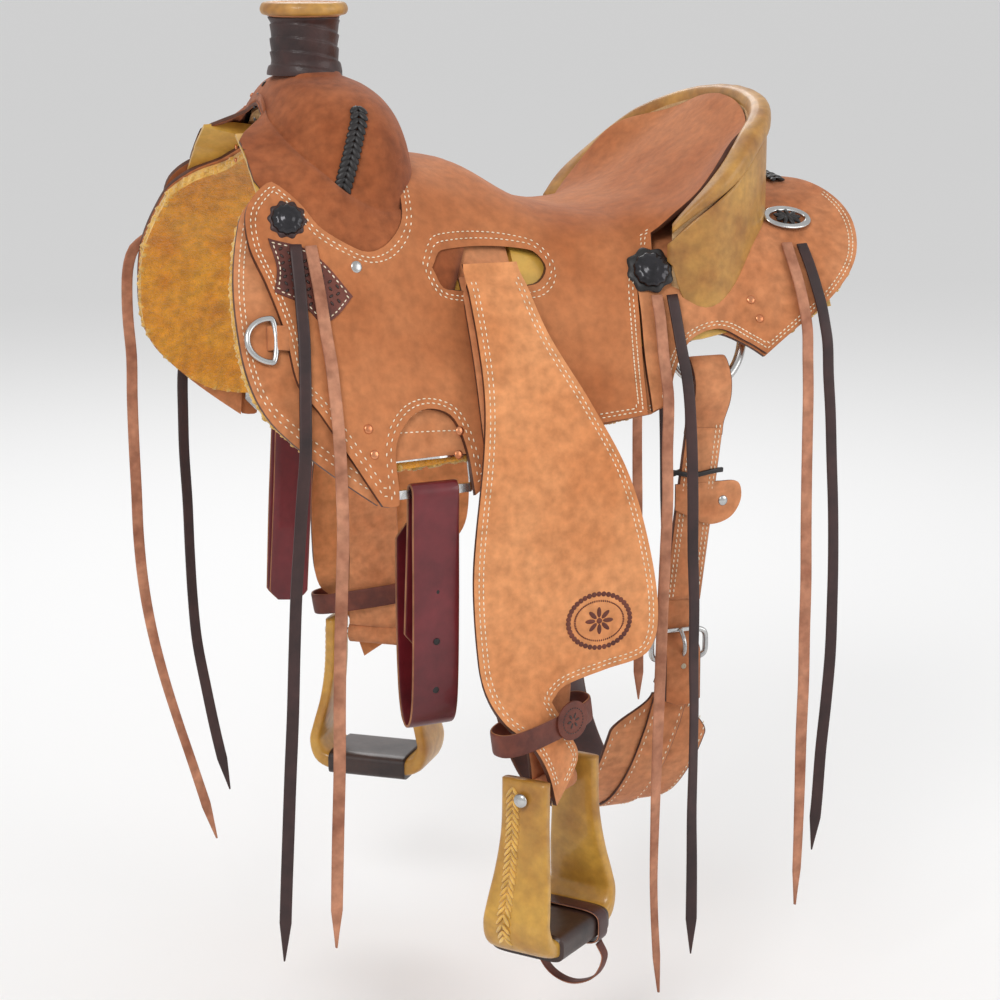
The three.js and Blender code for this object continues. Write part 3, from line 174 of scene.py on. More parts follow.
def sweep(points, width, thick, steps, wideAt=lambda t: (1, 0, 0), closed=False, sides=14, round=False, edge=False, inner=0):
    # a strap or bar along points; width may be a function of the way along
    route = along(list(points) + ([points[0]] if closed else []), steps + 1)
    route = [Vector(p) for p in route]
    frames = []
    for i, at in enumerate(route):
        if closed:
            ahead = route[(i + 1) % steps] - route[(i - 1) % steps]
        else:
            ahead = route[min(i + 1, steps)] - route[max(i - 1, 0)]
        ahead.normalize()
        wide = Vector(wideAt(i / steps))
        wide = (wide - ahead * wide.dot(ahead)).normalized()
        frames.append((at, wide, ahead.cross(wide).normalized()))

    def place(a, b):
        t = round_(b * steps)
        at, wide, face = frames[t]
        across = width(b) if callable(width) else width
        deep = thick(b) if callable(thick) else thick
        angle = 2 * math.pi * (a + 0.5 / sides)
        c, s = math.cos(angle), math.sin(angle)
        if round:
            x, y = c * across / 2, s * deep / 2
        else:
            x = math.copysign(abs(c) ** 0.34, c) * across / 2
            y = math.copysign(abs(s) ** 0.5, s) * deep / 2
        return at + wide * x + face * y

    def onEdge(a, b):
        turn = 2 * math.pi * (a + 0.5 / sides)
        if abs(math.cos(turn)) > 0.93:
            return 1
        return 2 if inner * math.sin(turn) > 0 else 0

    return sheetMesh(sides, steps, place, True, not closed, onEdge if edge else None)


def round_(value):
    return int(value + 0.5)


# materials
def newMaterial(name):
    finish = bpy.data.materials.new(name)
    finish.use_nodes = True
    return finish, finish.node_tree.nodes, finish.node_tree.links, finish.node_tree.nodes["Principled BSDF"]


def makeHideGroup():  # mottled colour and a fine surface, for every hide and cloth finish
    group = bpy.data.node_groups.new("hideSurface", "ShaderNodeTree")
    for label, kind in (("Vector", "NodeSocketVector"), ("Base", "NodeSocketColor"), ("Shade", "NodeSocketColor"),
                        ("Broad", "NodeSocketFloat"), ("Fine", "NodeSocketFloat"), ("Depth", "NodeSocketFloat")):
        group.interface.new_socket(label, in_out="INPUT", socket_type=kind)
    for label, kind in (("Color", "NodeSocketColor"), ("Height", "NodeSocketFloat"), ("Mask", "NodeSocketFloat")):
        group.interface.new_socket(label, in_out="OUTPUT", socket_type=kind)
    nodes, links = group.nodes, group.links
    enter, leave = nodes.new("NodeGroupInput"), nodes.new("NodeGroupOutput")
    broad, fine, speck = (nodes.new("ShaderNodeTexNoise") for _ in range(3))
    broad.inputs["Detail"].default_value = 5
    broad.inputs["Roughness"].default_value = 0.6
    fine.inputs["Detail"].default_value = 3
    fine.inputs["Roughness"].default_value = 0.75
    speck.inputs["Scale"].default_value = 95
    speck.inputs["Detail"].default_value = 4
    links.new(enter.outputs["Broad"], broad.inputs["Scale"])
    links.new(enter.outputs["Fine"], fine.inputs["Scale"])
    for texture in (broad, fine, speck):
        links.new(enter.outputs["Vector"], texture.inputs["Vector"])
    widen = nodes.new("ShaderNodeMapRange")
    widen.inputs["From Min"].default_value = 0.34
    widen.inputs["From Max"].default_value = 0.68
    links.new(broad.outputs["Fac"], widen.inputs["Value"])
    tone = nodes.new("ShaderNodeMix")
    tone.data_type = "RGBA"
    links.new(widen.outputs["Result"], tone.inputs["Factor"])
    links.new(enter.outputs["Base"], tone.inputs[6])
    links.new(enter.outputs["Shade"], tone.inputs[7])
    flecks = nodes.new("ShaderNodeMix")
    flecks.data_type = "RGBA"
    flecks.blend_type = "MULTIPLY"
    grade = nodes.new("ShaderNodeMapRange")
    grade.inputs["From Min"].default_value = 0.3
    grade.inputs["From Max"].default_value = 0.7
    grade.inputs["To Min"].default_value = 0.74
    grade.inputs["To Max"].default_value = 1.16
    links.new(speck.outputs["Fac"], grade.inputs["Value"])
    links.new(grade.outputs["Result"], flecks.inputs[7])
    links.new(tone.outputs[2], flecks.inputs[6])
    links.new(enter.outputs["Depth"], flecks.inputs["Factor"])
    links.new(flecks.outputs[2], leave.inputs["Color"])
    both = nodes.new("ShaderNodeMath")
    both.operation = "MULTIPLY_ADD"
    both.inputs[1].default_value = 0.5
    links.new(speck.outputs["Fac"], both.inputs[0])
    links.new(fine.outputs["Fac"], both.inputs[2])
    links.new(both.outputs[0], leave.inputs["Height"])
    links.new(widen.outputs["Result"], leave.inputs["Mask"])
    return group


hideGroup = makeHideGroup()


def hide(name, base, shade, rough, broad=7, fine=900, depth=0.8, bump=0.35, reach=0.0006, sheen=0.0, coat=0.0,
         metallic=0.0, roughSpan=0.08, stretch=(1, 1, 1)):
    finish, nodes, links, shader = newMaterial(name)
    place = nodes.new("ShaderNodeTexCoord")
    turn = nodes.new("ShaderNodeMapping")
    turn.inputs["Scale"].default_value = stretch
    links.new(place.outputs["Object"], turn.inputs["Vector"])
    surface = nodes.new("ShaderNodeGroup")
    surface.node_tree = hideGroup
    links.new(turn.outputs["Vector"], surface.inputs["Vector"])
    surface.inputs["Base"].default_value = (*base, 1)
    surface.inputs["Shade"].default_value = (*shade, 1)
    surface.inputs["Broad"].default_value = broad
    surface.inputs["Fine"].default_value = fine
    surface.inputs["Depth"].default_value = depth
    links.new(surface.outputs["Color"], shader.inputs["Base Color"])
    spread = nodes.new("ShaderNodeMapRange")
    spread.inputs["To Min"].default_value = max(rough - roughSpan, 0.05)
    spread.inputs["To Max"].default_value = min(rough + roughSpan, 1)
    links.new(surface.outputs["Mask"], spread.inputs["Value"])
    links.new(spread.outputs["Result"], shader.inputs["Roughness"])
    raised = nodes.new("ShaderNodeBump")
    raised.inputs["Strength"].default_value = bump
    raised.inputs["Distance"].default_value = reach
    links.new(surface.outputs["Height"], raised.inputs["Height"])
    links.new(raised.outputs["Normal"], shader.inputs["Normal"])
    shader.inputs["Metallic"].default_value = metallic
    shader.inputs["Sheen Weight"].default_value = sheen
    shader.inputs["Coat Weight"].default_value = coat
    shader.inputs["Specular IOR Level"].default_value = 0.25 if rough > 0.7 else 0.5
    return finish


def tone(r, g, b):  # a colour as eyes name it, 0 to 255, made linear
    return tuple((c / 255) ** 2.2 for c in (r, g, b))


roughHide = hide("roughHide", tone(200, 134, 92), tone(176, 108, 68), 0.95, 9, 1100, 0.85, 0.5, 0.0005, 0.12)
forkHide = hide("forkHide", tone(164, 96, 60), tone(128, 68, 40), 0.95, 10, 1000, 0.9, 0.5, 0.0005, 0.1)
seatHide = hide("seatHide", tone(190, 121, 78), tone(160, 93, 56), 0.88, 6, 800, 0.7, 0.4, 0.0005, 0.1)
fenderHide = hide("fenderHide", tone(216, 147, 98), tone(196, 124, 78), 0.95, 8, 1100, 0.8, 0.5, 0.0005, 0.12)
cinchHide = hide("cinchHide", tone(205, 140, 98), tone(180, 112, 74), 0.9, 12, 900, 0.9, 0.45, 0.0005, 0.1)
cutEdge = hide("cutEdge", tone(96, 58, 40), tone(68, 38, 28), 0.6, 30, 700, 0.7, 0.3)
darkHide = hide("darkHide", tone(74, 42, 40), tone(48, 27, 27), 0.45, 14, 420, 0.6, 0.3, 0.0005, 0.0, 0.1)
wineHide = hide("wineHide", tone(112, 36, 42), tone(84, 24, 30), 0.38, 10, 380, 0.5, 0.22, 0.0004, 0.0, 0.18)
wineEdge = hide("wineEdge", tone(160, 108, 72), tone(128, 80, 52), 0.7, 30, 600, 0.8, 0.3)
laceHide = hide("laceHide", tone(190, 134, 106), tone(146, 96, 76), 0.9, 26, 700, 0.9, 0.4)
browHide = hide("browHide", tone(62, 38, 36), tone(40, 24, 24), 0.5, 20, 500, 0.6, 0.3)
blackLace = hide("blackLace", tone(38, 34, 34), tone(24, 21, 21), 0.45, 40, 600, 0.6, 0.3)
woolPile = hide("woolPile", tone(240, 166, 44), tone(216, 134, 22), 1.0, 26, 330, 1.0, 1.0, 0.004, 0.5)
woolFringe = hide("woolFringe", tone(234, 190, 104), tone(214, 160, 70), 1.0, 40, 420, 1.0, 0.8, 0.002, 0.5)
rawHide = hide("rawHide", tone(200, 152, 66), tone(158, 106, 38), 0.42, 15, 240, 0.6, 0.25, 0.0008, 0.0, 0.3)
bindHide = hide("bindHide", tone(190, 142, 70), tone(146, 96, 46), 0.5, 16, 300, 0.8, 0.3, 0.0008, 0.0, 0.15)
wrapHide = hide("wrapHide", tone(70, 42, 38), tone(42, 25, 24), 0.5, 18, 260, 0.8, 0.5, 0.0008, 0.0, 0.1)
treeHide = hide("treeHide", tone(212, 168, 78), tone(176, 124, 48), 0.4, 12, 260, 0.6, 0.3, 0.0008, 0.0, 0.35)
treadHide = hide("treadHide", tone(62, 42, 36), tone(40, 27, 25), 0.42, 18, 400, 0.7, 0.3, 0.0005, 0.0, 0.15)
stampHide = hide("stampHide", tone(110, 54, 38), tone(76, 34, 26), 0.55, 30, 500, 0.8, 0.4)
brightSteel = hide("brightSteel", tone(205, 205, 203), tone(176, 176, 176), 0.24, 40, 900, 0.2, 0.06, 0.0002, 0.0, 0.0, 1.0)
blackSteel = hide("blackSteel", tone(52, 50, 54), tone(30, 29, 32), 0.26, 40, 500, 0.3, 0.1, 0.0002, 0.0, 0.3, 0.6)
copperCap = hide("copperCap", tone(222, 152, 112), tone(196, 120, 84), 0.3, 60, 700, 0.3, 0.1, 0.0002, 0.0, 0.0, 1.0)
thread = hide("thread", tone(244, 232, 208), tone(224, 206, 176), 0.85, 60, 900, 0.4, 0.4)
pineWood = hide("pineWood", tone(206, 170, 124), tone(176, 136, 92), 0.7, 12, 300, 0.6, 0.3, 0.0005, 0, 0, 0, 0.08, (1, 6, 6))
pale = bpy.data.materials.new("palePaper")
pale.use_nodes = True
pale.node_tree.nodes["Principled BSDF"].inputs["Base Color"].default_value = (0.86, 0.86, 0.86, 1)
pale.node_tree.nodes["Principled BSDF"].inputs["Roughness"].default_value = 0.9
floor.data.materials.append(pale)
print("materials made")

# saddle strings: flat thongs, the same routes as their solids
strings = {
    "string_near_front_dark": [
        (-276, -180, 34), (-277, -190, 14), (-278, -200, -6), (-279, -208, -26), (-280, -217, -48),
        (-282, -225, -69), (-284, -232, -90), (-286, -238, -111), (-288, -244, -134), (-290, -249, -158),
        (-294, -251, -192), (-298, -252, -235), (-302, -251, -287), (-305, -251, -344), (-308, -252, -405),
        (-312, -253, -467), (-315, -252, -528), (-318, -251, -590), (-321, -251, -655)],
    "string_near_front_light": [
        (-261, -180, 32), (-260, -190, 12), (-259, -199, -8), (-258, -207, -30), (-257, -215, -52),
        (-256, -224, -73), (-256, -232, -94), (-256, -239, -115), (-256, -245, -137), (-256, -249, -160),
        (-256, -252, -188), (-256, -254, -229), (-258, -254, -286), (-260, -253, -342), (-262, -254, -403),
        (-263, -254, -465), (-265, -253, -526), (-267, -253, -587), (-269, -254, -648)],
    "string_near_rear_light": [
        (100, -178, -34), (100, -186, -52), (100, -192, -72), (99, -199, -91), (99, -206, -111),
        (99, -212, -131), (98, -215, -154), (97, -216, -188), (98, -216, -232), (97, -215, -286),
        (95, -215, -345), (94, -214, -404), (92, -215, -463), (90, -216, -522), (89, -216, -581),
        (89, -215, -640), (91, -214, -684), (94, -214, -729), (97, -214, -770)],
    "string_near_rear_dark": [
        (116, -180, -34), (117, -187, -52), (118, -194, -72), (119, -201, -91), (121, -207, -111),
        (123, -210, -134), (125, -211, -163), (127, -211, -197), (129, -210, -241), (130, -210, -294),
        (133, -209, -350), (133, -210, -407), (134, -211, -460), (134, -211, -519), (134, -210, -578),
        (135, -210, -631), (135, -211, -685), (135, -211, -733)],
    "string_near_back_dark": [
        (277, -149, 6), (278, -161, -8), (279, -171, -22), (281, -178, -37), (283, -185, -53),
        (285, -189, -70), (287, -193, -91), (288, -195, -124), (291, -196, -163), (294, -196, -212),
        (298, -195, -266), (300, -195, -321), (301, -194, -370), (300, -195, -424), (296, -196, -478),
        (292, -195, -532), (289, -195, -589), (285, -194, -643)],
    "string_near_back_light": [
        (259, -150, 8), (259, -163, -8), (260, -174, -24), (261, -182, -40), (262, -189, -58),
        (264, -192, -78), (264, -194, -104), (265, -195, -139), (265, -196, -184), (265, -197, -233),
        (266, -197, -288), (268, -196, -342), (268, -196, -397), (268, -197, -451), (267, -197, -511),
        (267, -197, -575), (267, -196, -640), (266, -195, -703)],
    "string_off_front_light": [
        (-291, 184, 36), (-293, 189, 27), (-299, 192, 19), (-309, 194, 13), (-321, 194, 8), (-332, 196, 0),
        (-345, 201, -12), (-351, 205, -32), (-353, 206, -58), (-353, 205, -90), (-351, 203, -130),
        (-352, 202, -175), (-352, 201, -225), (-351, 201, -278), (-350, 202, -332), (-346, 203, -386),
        (-338, 204, -440), (-326, 204, -495), (-312, 203, -548), (-297, 202, -600), (-283, 201, -650),
        (-271, 201, -694)],
    "string_off_front_dark": [
        (-275, 180, 34), (-277, 190, 14), (-279, 200, -6), (-280, 208, -26), (-281, 217, -48),
        (-282, 225, -70), (-282, 233, -93), (-283, 239, -116), (-283, 244, -140), (-284, 249, -167),
        (-284, 251, -204), (-284, 251, -250), (-282, 250, -307), (-281, 250, -364), (-279, 251, -419),
        (-275, 252, -472), (-266, 252, -528), (-255, 251, -590), (-241, 251, -655)],
    "string_off_back_light": [
        (258, 150, 8), (258, 163, -8), (258, 174, -24), (257, 182, -40), (256, 189, -58), (256, 194, -80),
        (253, 196, -106), (251, 196, -140), (250, 197, -185), (249, 197, -234), (249, 196, -285),
        (250, 196, -335), (251, 197, -390), (252, 197, -440), (253, 196, -490), (254, 196, -540), (254, 195, -585)],
    "string_off_back_dark": [
        (277, 149, 6), (278, 161, -8), (279, 171, -22), (280, 178, -37), (281, 185, -53), (282, 189, -70),
        (282, 192, -92), (282, 194, -125), (282, 195, -165), (282, 195, -214), (283, 194, -255), (284, 194, -295),
        (285, 195, -335), (286, 195, -375), (286, 194, -412), (286, 194, -450)],
}
thong = {"width": 12, "thick": 2.8, "turn": 0.55}
for number, (node, route) in enumerate(strings.items()):
    dark = node.endswith("dark")

    def wideAt(t, number=number):  # each thong turns a little as it hangs
        turn = thong["turn"] * smoothStep(t, 0.25, 0.9) * math.sin(5 * t + number * 1.7)
        return (math.cos(turn), math.sin(turn), 0)

    def widthAt(t):  # cut to a point at its end
        return thong["width"] * min(1, 0.12 + (1 - t) * 16)

    bm = sweep(route, widthAt, thong["thick"], 90, wideAt, sides=12)
    piece = newPiece("thong_" + node[7:], bm, "saddle",
                     [browHide if dark else laceHide], [node])
    metres = [tuple(c / 1000 for c in p) for p in along(route, 60)]
    reach = sum(math.dist(a, b) for a, b in zip(metres, metres[1:]))
    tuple(metres[0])
print("strings hung")

# the shape of the saddle's sides and seat: cross-sections from the spine line down, in millimetres
sideStations = [
    [-350, 0, 158, 60, 134, 98, 112, 132, 84, 166, 38, 193, -5, 213, -55, 232, -110, 256, -212],
    [-260, 0, 140, 60, 118, 98, 96, 132, 68, 166, 22, 190, -18, 209, -65, 229, -118, 252, -212],
    [-150, 0, 92, 56, 74, 95, 52, 128, 26, 157, -10, 180, -48, 200, -90, 219, -135, 242, -212],
    [-50, 0, 50, 54, 38, 94, 20, 127, -8, 154, -42, 175, -76, 192, -112, 208, -152, 229, -214],
    [60, 0, 14, 54, 8, 95, -4, 130, -26, 158, -54, 178, -86, 192, -118, 204, -152, 222, -214],
    [160, 0, 22, 52, 16, 96, 4, 131, -18, 160, -48, 181, -80, 194, -112, 204, -148, 214, -205],
    [260, 0, 50, 50, 44, 93, 28, 128, 4, 156, -26, 176, -60, 189, -95, 199, -135, 208, -190],
    [355, 0, 62, 50, 54, 91, 36, 124, 10, 150, -20, 169, -54, 181, -90, 190, -130, 198, -180],
]
seatStations = [
    [-350, 0, 172, 66, 147, 105, 124, 141, 92],
    [-220, 0, 150, 66, 128, 112, 104, 150, 74],
    [-150, 0, 107, 45, 105, 88, 96, 132, 68],
    [-66, 0, 93, 44, 90, 85, 73, 125, 42],
    [0, 0, 57, 50, 55, 96, 45, 134, 20],
    [60, 0, 42, 60, 42, 108, 35, 142, 12],
    [104, 0, 46, 60, 46, 108, 38, 142, 14],
    [150, 0, 62, 60, 60, 118, 58, 166, 64],
    [200, 0, 98, 60, 97, 105, 99, 145, 118],
    [256, 0, 156, 45, 153, 82, 146, 118, 140],
]
rim = [(252, 0, 153), (250, 40, 151), (243, 78, 145), (228, 110, 134), (205, 135, 117),
       (180, 153, 92), (155, 158, 66), (130, 150, 37), (110, 139, 14)]
rimRows = [(x, -y, z) for x, y, z in rim[:0:-1]] + rim
layers = {"skirt": 5, "jockey": 5, "fleece": 12, "barDepth": 22, "barFront": -305, "barRear": 292, "air": 0.4}
girth = 420  # one cross-section laid flat
sideCache, seatCache = {}, {}
barShape = [[1], [1], [1], [1], [0.62], [0.12], [0], [0], [0]]


def alongSection(section, v):
    pairs = [[section[2 * i], section[2 * i + 1]] for i in range(len(section) // 2)]
    return hermite(list(range(len(pairs))), pairs, v * (len(pairs) - 1))


def sideAt(x, v):
    key = round(x, 2)
    if key not in sideCache:
        sideCache[key] = hermite([r[0] for r in sideStations], [r[1:] for r in sideStations], x)
    return alongSection(sideCache[key], v)


def outwardAt(sectionAt, x, v):
    y0, z0 = sectionAt(x, max(v - 0.02, 0))
    y1, z1 = sectionAt(x, min(v + 0.02, 1))
    length = math.hypot(y1 - y0, z1 - z0)
    return -(z1 - z0) / length, (y1 - y0) / length


def offSection(sectionAt, x, v, out):
    y, z = sectionAt(x, v)
    ny, nz = outwardAt(sectionAt, x, v)
    return y + ny * out, z + nz * out


def overBar(x, v):
    across = max(hermite(list(range(9)), barShape, v * 8)[0], 0)
    lengthwise = smoothStep(x, layers["barFront"], layers["barFront"] + 80) * (
        1 - smoothStep(x, layers["barRear"] - 90, layers["barRear"]))
    return 2 * layers["air"] + layers["barDepth"] * across * (0.12 + 0.88 * lengthwise)


def seatAt(x, v):
    key = round(x, 2)
    if key not in seatCache:
        top = hermite([r[0] for r in seatStations], [r[1:] for r in seatStations], x)
        dish = smoothStep(x, 112, 150)
        lower = []
        for i in range(4, 9):
            y, z = offSection(sideAt, x, i / 8, overBar(x, i / 8) + layers["jockey"])
            beyond = (i - 3) * 0.5
            lower += [mix(y, top[6] + (top[6] - top[4]) * beyond, dish),
                      mix(z, top[7] + (top[7] - top[5]) * beyond, dish)]
        seatCache[key] = top + lower
    return alongSection(seatCache[key], v)


def rowAt(measure, target, low=0.0, high=1.0):  # where a falling measure reaches the target
    for _ in range(22):
        v = (low + high) / 2
        if measure(v) > target:
            low = v
        else:
            high = v
    return low


def rimAt(t):
    return hermite(list(range(len(rimRows))), rimRows, t * (len(rimRows) - 1))


def rimOut(t, out):
    x, y, z = rimAt(t)
    near = min(max(t, 0.01), 0.99)
    x0, y0, _ = rimAt(near - 0.01)
    x1, y1, _ = rimAt(near + 0.01)
    length = math.hypot(x1 - x0, y1 - y0)
    return Vector((x + (y1 - y0) / length * out, y - (x1 - x0) / length * out, z))


def onSide(side, lift):  # places on a panel of one side; s is the way down the section in millimetres
    def place(x, s, out=0):
        v = s / girth
        base = lift(x, v) if callable(lift) else lift
        y, z = offSection(sideAt, x, v, base + out)
        return Vector((x, side * max(y, 0.6), z))
    return place


def onSeat(x, s, out=0):
    v = abs(s) / girth
    y, z = offSection(seatAt, x, v, out)
    return Vector((x, math.copysign(max(y, 0), s), z))


def flatten(points, sectionAt=sideAt):  # a side-view outline laid flat on the section
    laid = []
    for p in points:
        v = rowAt(lambda w: sectionAt(p[0], w)[1], p[1])
        laid.append((p[0], v * girth) + tuple(p[2:]))
    return laid


def edgeFrame(place, x, s, dx, ds, out):  # a stitch's place: along the line, across it, and out
    here = place(x, s, out)
    ahead = place(x + dx, s + ds, out) - here
    ahead.normalize()
    up = place(x, s, out + 2) - here
    up = (up - ahead * up.dot(ahead)).normalized()
    side = up.cross(ahead)
    turned = Matrix((ahead, side, up)).transposed().to_4x4()
    return Matrix.Translation(here) @ turned


def distanceTo(path, x, s):
    best = 1e9
    for a, b in zip(path, path[1:] + path[:1]):
        ex, es = b[0] - a[0], b[1] - a[1]
        t = min(max(((x - a[0]) * ex + (s - a[1]) * es) / (ex * ex + es * es + 1e-9), 0), 1)
        best = min(best, (a[0] + ex * t - x) ** 2 + (a[1] + es * t - s) ** 2)
    return math.sqrt(best)


def inside(path, x, s):
    odd = False
    for a, b in zip(path, path[1:] + path[:1]):
        if (a[1] > s) != (b[1] > s) and x < (b[0] - a[0]) * (s - a[1]) / (b[1] - a[1]) + a[0]:
            odd = not odd
    return odd


def insetLine(path, inset):  # an outline moved inwards, as (x, s, dx, ds)
    area = sum(a[0] * b[1] - b[0] * a[1] for a, b in zip(path, path[1:] + path[:1]))
    turn = 1 if area > 0 else -1
    line = []
    n = len(path)
    for i in range(n):
        a, b = path[i - 1], path[(i + 1) % n]
        dx, ds = b[0] - a[0], b[1] - a[1]
        length = math.hypot(dx, ds) or 1
        dx, ds = dx / length, ds / length
        x, s = path[i][0] - ds * turn * inset, path[i][1] + dx * turn * inset
        if distanceTo(path, x, s) > abs(inset) * 0.94:
            line.append((x, s, dx, ds))
    return line


stitch = {"length": 4.2, "width": 1.5, "height": 1.1, "pitch": 5.8}


def addStitches(bm, line, place, keep, out, pitch=None):
    pitch = pitch or stitch["pitch"]
    travelled = 0.0
    for a, b in zip(line, line[1:] + line[:1]):
        span = math.hypot(b[0] - a[0], b[1] - a[1])
        if span > 26:
            continue
        while travelled < span:
            t = travelled / span
            x, s = mix(a[0], b[0], t), mix(a[1], b[1], t)
            if keep(x, s):
                matrix = edgeFrame(place, x, s, a[2], a[3], out) @ Matrix.Diagonal(
                    (stitch["length"] / 2, stitch["width"] / 2, stitch["height"] / 2, 1))
                bmesh.ops.create_icosphere(bm, subdivisions=1, radius=1, matrix=matrix)
            travelled += pitch
        travelled -= span


def stitchRows(name, body, path, place, insets=(5, 9.4), keep=lambda x, s: True, out=0.2):
    bm = bmesh.new()
    for inset in insets:
        addStitches(bm, insetLine(path, inset), place, keep, out)
    return newPiece(name, bm, body, [thread])


def cutPanel(name, path, place, thick, body, finish, replaces=(), step=9, bumpy=0.0, back=None):
    # leather cut to a flat outline, laid on its shape, with a burnished edge
    bm = bmesh.new()
    bm.faces.new([bm.verts.new((x, s, 0)) for x, s in path])
    for axis in (0, 1):
        low, high = min(p[axis] for p in path), max(p[axis] for p in path)
        cut = math.ceil(low / step) * step
        while cut < high:
            spot, facing = [0, 0, 0], [0, 0, 0]
            spot[axis], facing[axis] = cut + 0.013, 1
            bmesh.ops.bisect_plane(bm, geom=bm.verts[:] + bm.edges[:] + bm.faces[:], dist=0.01,
                                   plane_co=spot, plane_no=facing)
            cut += step
    probe = None
    for vert in bm.verts:
        x, s = vert.co.x, vert.co.y
        lift = bumpy * noise.noise(Vector((x, s, 0)) * 0.02) if bumpy else 0
        vert.co = place(x, s, lift)
        if probe is None and len(vert.link_faces) == 4:
            probe = (vert, place(x, s, 2) - place(x, s, 0))
    bm.normal_update()
    if probe and probe[0].normal.dot(probe[1]) < 0:
        bmesh.ops.reverse_faces(bm, faces=bm.faces)
    piece = newPiece(name, bm, body, [finish, cutEdge, back or finish], replaces)
    body_ = piece.modifiers.new("thickness", "SOLIDIFY")
    body_.thickness = thick / 1000
    body_.offset = -1
    body_.material_offset_rim = 1
    body_.material_offset = 2
    finishEdges(piece)
    return piece


def carve(piece, cutter):  # cut a hole with another mesh, then forget the cutter
    for name in [m.name for m in piece.modifiers if m.type == "BEVEL"]:
        piece.modifiers.remove(piece.modifiers[name])
    hole = piece.modifiers.new("hole", "BOOLEAN")
    hole.operation = "DIFFERENCE"
    hole.solver = "EXACT"
    hole.object = cutter
    bpy.context.view_layer.update()
    shaped = bpy.data.meshes.new_from_object(piece.evaluated_get(bpy.context.evaluated_depsgraph_get()))
    piece.modifiers.clear()
    piece.data = shaped
    shaped.shade_smooth()
    bpy.data.objects.remove(cutter)
    return finishEdges(piece)


def prism(path, low, high):  # a side-view outline pushed through from low to high
    bm = bmesh.new()
    face = bm.faces.new([bm.verts.new((x, low, z)) for x, z in path])
    pushed = bmesh.ops.extrude_face_region(bm, geom=[face])
    bmesh.ops.translate(bm, verts=[v for v in pushed["geom"] if isinstance(v, bmesh.types.BMVert)],
                        vec=(0, high - low, 0))
    bmesh.ops.recalc_face_normals(bm, faces=bm.faces)
    mesh = bpy.data.meshes.new("cutter")
    bm.to_mesh(mesh)
    bm.free()
    mesh.transform(Matrix.Scale(0.001, 4))
    for finish in range(2):
        mesh.materials.append(cutEdge)
    cutter = bpy.data.objects.new("cutter", mesh)
    scene.collection.objects.link(cutter)
    return cutter


# outlines in the side view
skirtOutline = [
    (-238, 150, 1), (-268, 96), (-300, 78), (-322, 56), (-338, 8), (-341, -42), (-333, -96), (-312, -132),
    (-219, -209, 1), (-217, -150), (-198, -118), (-160, -108), (-122, -118), (-104, -150),
    (-102, -200, 1), (-60, -176, 1), (21, -158, 1), (84, -150, 1), (104, -142, 1), (112, -112), (134, -84),
    (166, -76), (196, -88), (216, -101, 1), (262, -72), (300, -50), (338, -18), (352, 16), (346, 42),
    (326, 56), (290, 57.2, 1)]
jockeyOutline = [
    (-151, 93), (-154, 74), (-160, 48), (-180, 29), (-200, 23), (-217, 28), (-248, 48), (-262, 68),
    (-278, 84), (-290, 90), (-316, 68), (-319, 34), (-309, 2), (-296, -45), (-289, -92), (-270, -120),
    (-216, -209, 1), (-200, -211), (-197, -156), (-180, -131), (-157, -124), (-134, -134), (-122, -165),
    (-118, -208, 1), (-60, -174, 1), (21, -154, 1), (78, -149, 1), (80, -90), (84, -28), (98, -6), (111, 6, 1)]
fleeceOutline = [
    (-236, 150, 1), (-266, 94), (-299, 76), (-321, 55), (-337, 8), (-340, -42), (-332, -96), (-310, -130),
    (-262, -168), (-200, -178), (-100, -174), (20, -157), (80, -147, 1), (100, -108), (108, -66),
    (128, -54, 1), (208, -54, 1), (224, -90, 1), (262, -71), (299, -49), (336, -18), (350, 15), (344, 40),
    (326, 54), (290, 55, 1)]
rearJockeyOutline = [
    (84, -148, 1), (104, -140, 1), (113, -111), (135, -83), (166, -75), (196, -87), (216, -99, 1),
    (262, -71), (300, -49), (337, -17), (351, 16), (345, 41), (325, 54), (290, 60, 1), (120, 12, 1),
    (102, -6), (87, -28), (83, -90)]
slotOutline = [(-135, 4), (-123, -17), (-25, -19), (-9, -4), (-23, 13), (-121, 19)]
sides = {"near": -1, "off": 1}


def seatPath():
    front = outlineThrough([(-151, 93, 1)] + jockeyOutline[1:], 6)
    half = [(x, rowAt(lambda w: seatAt(x, w)[1], z, 0.05) * girth) for x, z in front
            if x < 111.5]
    stop = next(i for i, p in enumerate(half) if p[0] > 104 and p[1] > 100 and i > len(half) * 0.6)
    half = half[:stop + 1]
    rear = []
    for i in range(24):
        x, y, _ = rimAt(1 - 0.5 * i / 23)
        rear.append((x, rowAt(lambda w: -seatAt(x, w)[0], -y, 0.0, 0.9) * girth))
    half += rear
    return half + [(x, -s) for x, s in half[::-1] if s > 1]


panelPath = seatPath()
seatPiece = cutPanel("seat_leather", panelPath, onSeat, layers["jockey"], "saddle", seatHide, ["seat"], 9, 0.8)
slotPath = outlineThrough([(slotOutline[0][0], slotOutline[0][1], 1)] + slotOutline[1:], 5)
carve(seatPiece, prism(slotPath, -600, 600))
stitchRows("seat_stitching", "saddle", panelPath, onSeat, keep=lambda x, s: abs(s) > 0.3 * girth and x < 108)
for name, side in sides.items():
    ring = [(x, side * s) for x, s in flatten(slotPath, seatAt)]
    stitchRows("slot_stitching_" + name, "saddle", ring, onSeat, (-5, -9.4))
print("seat made")

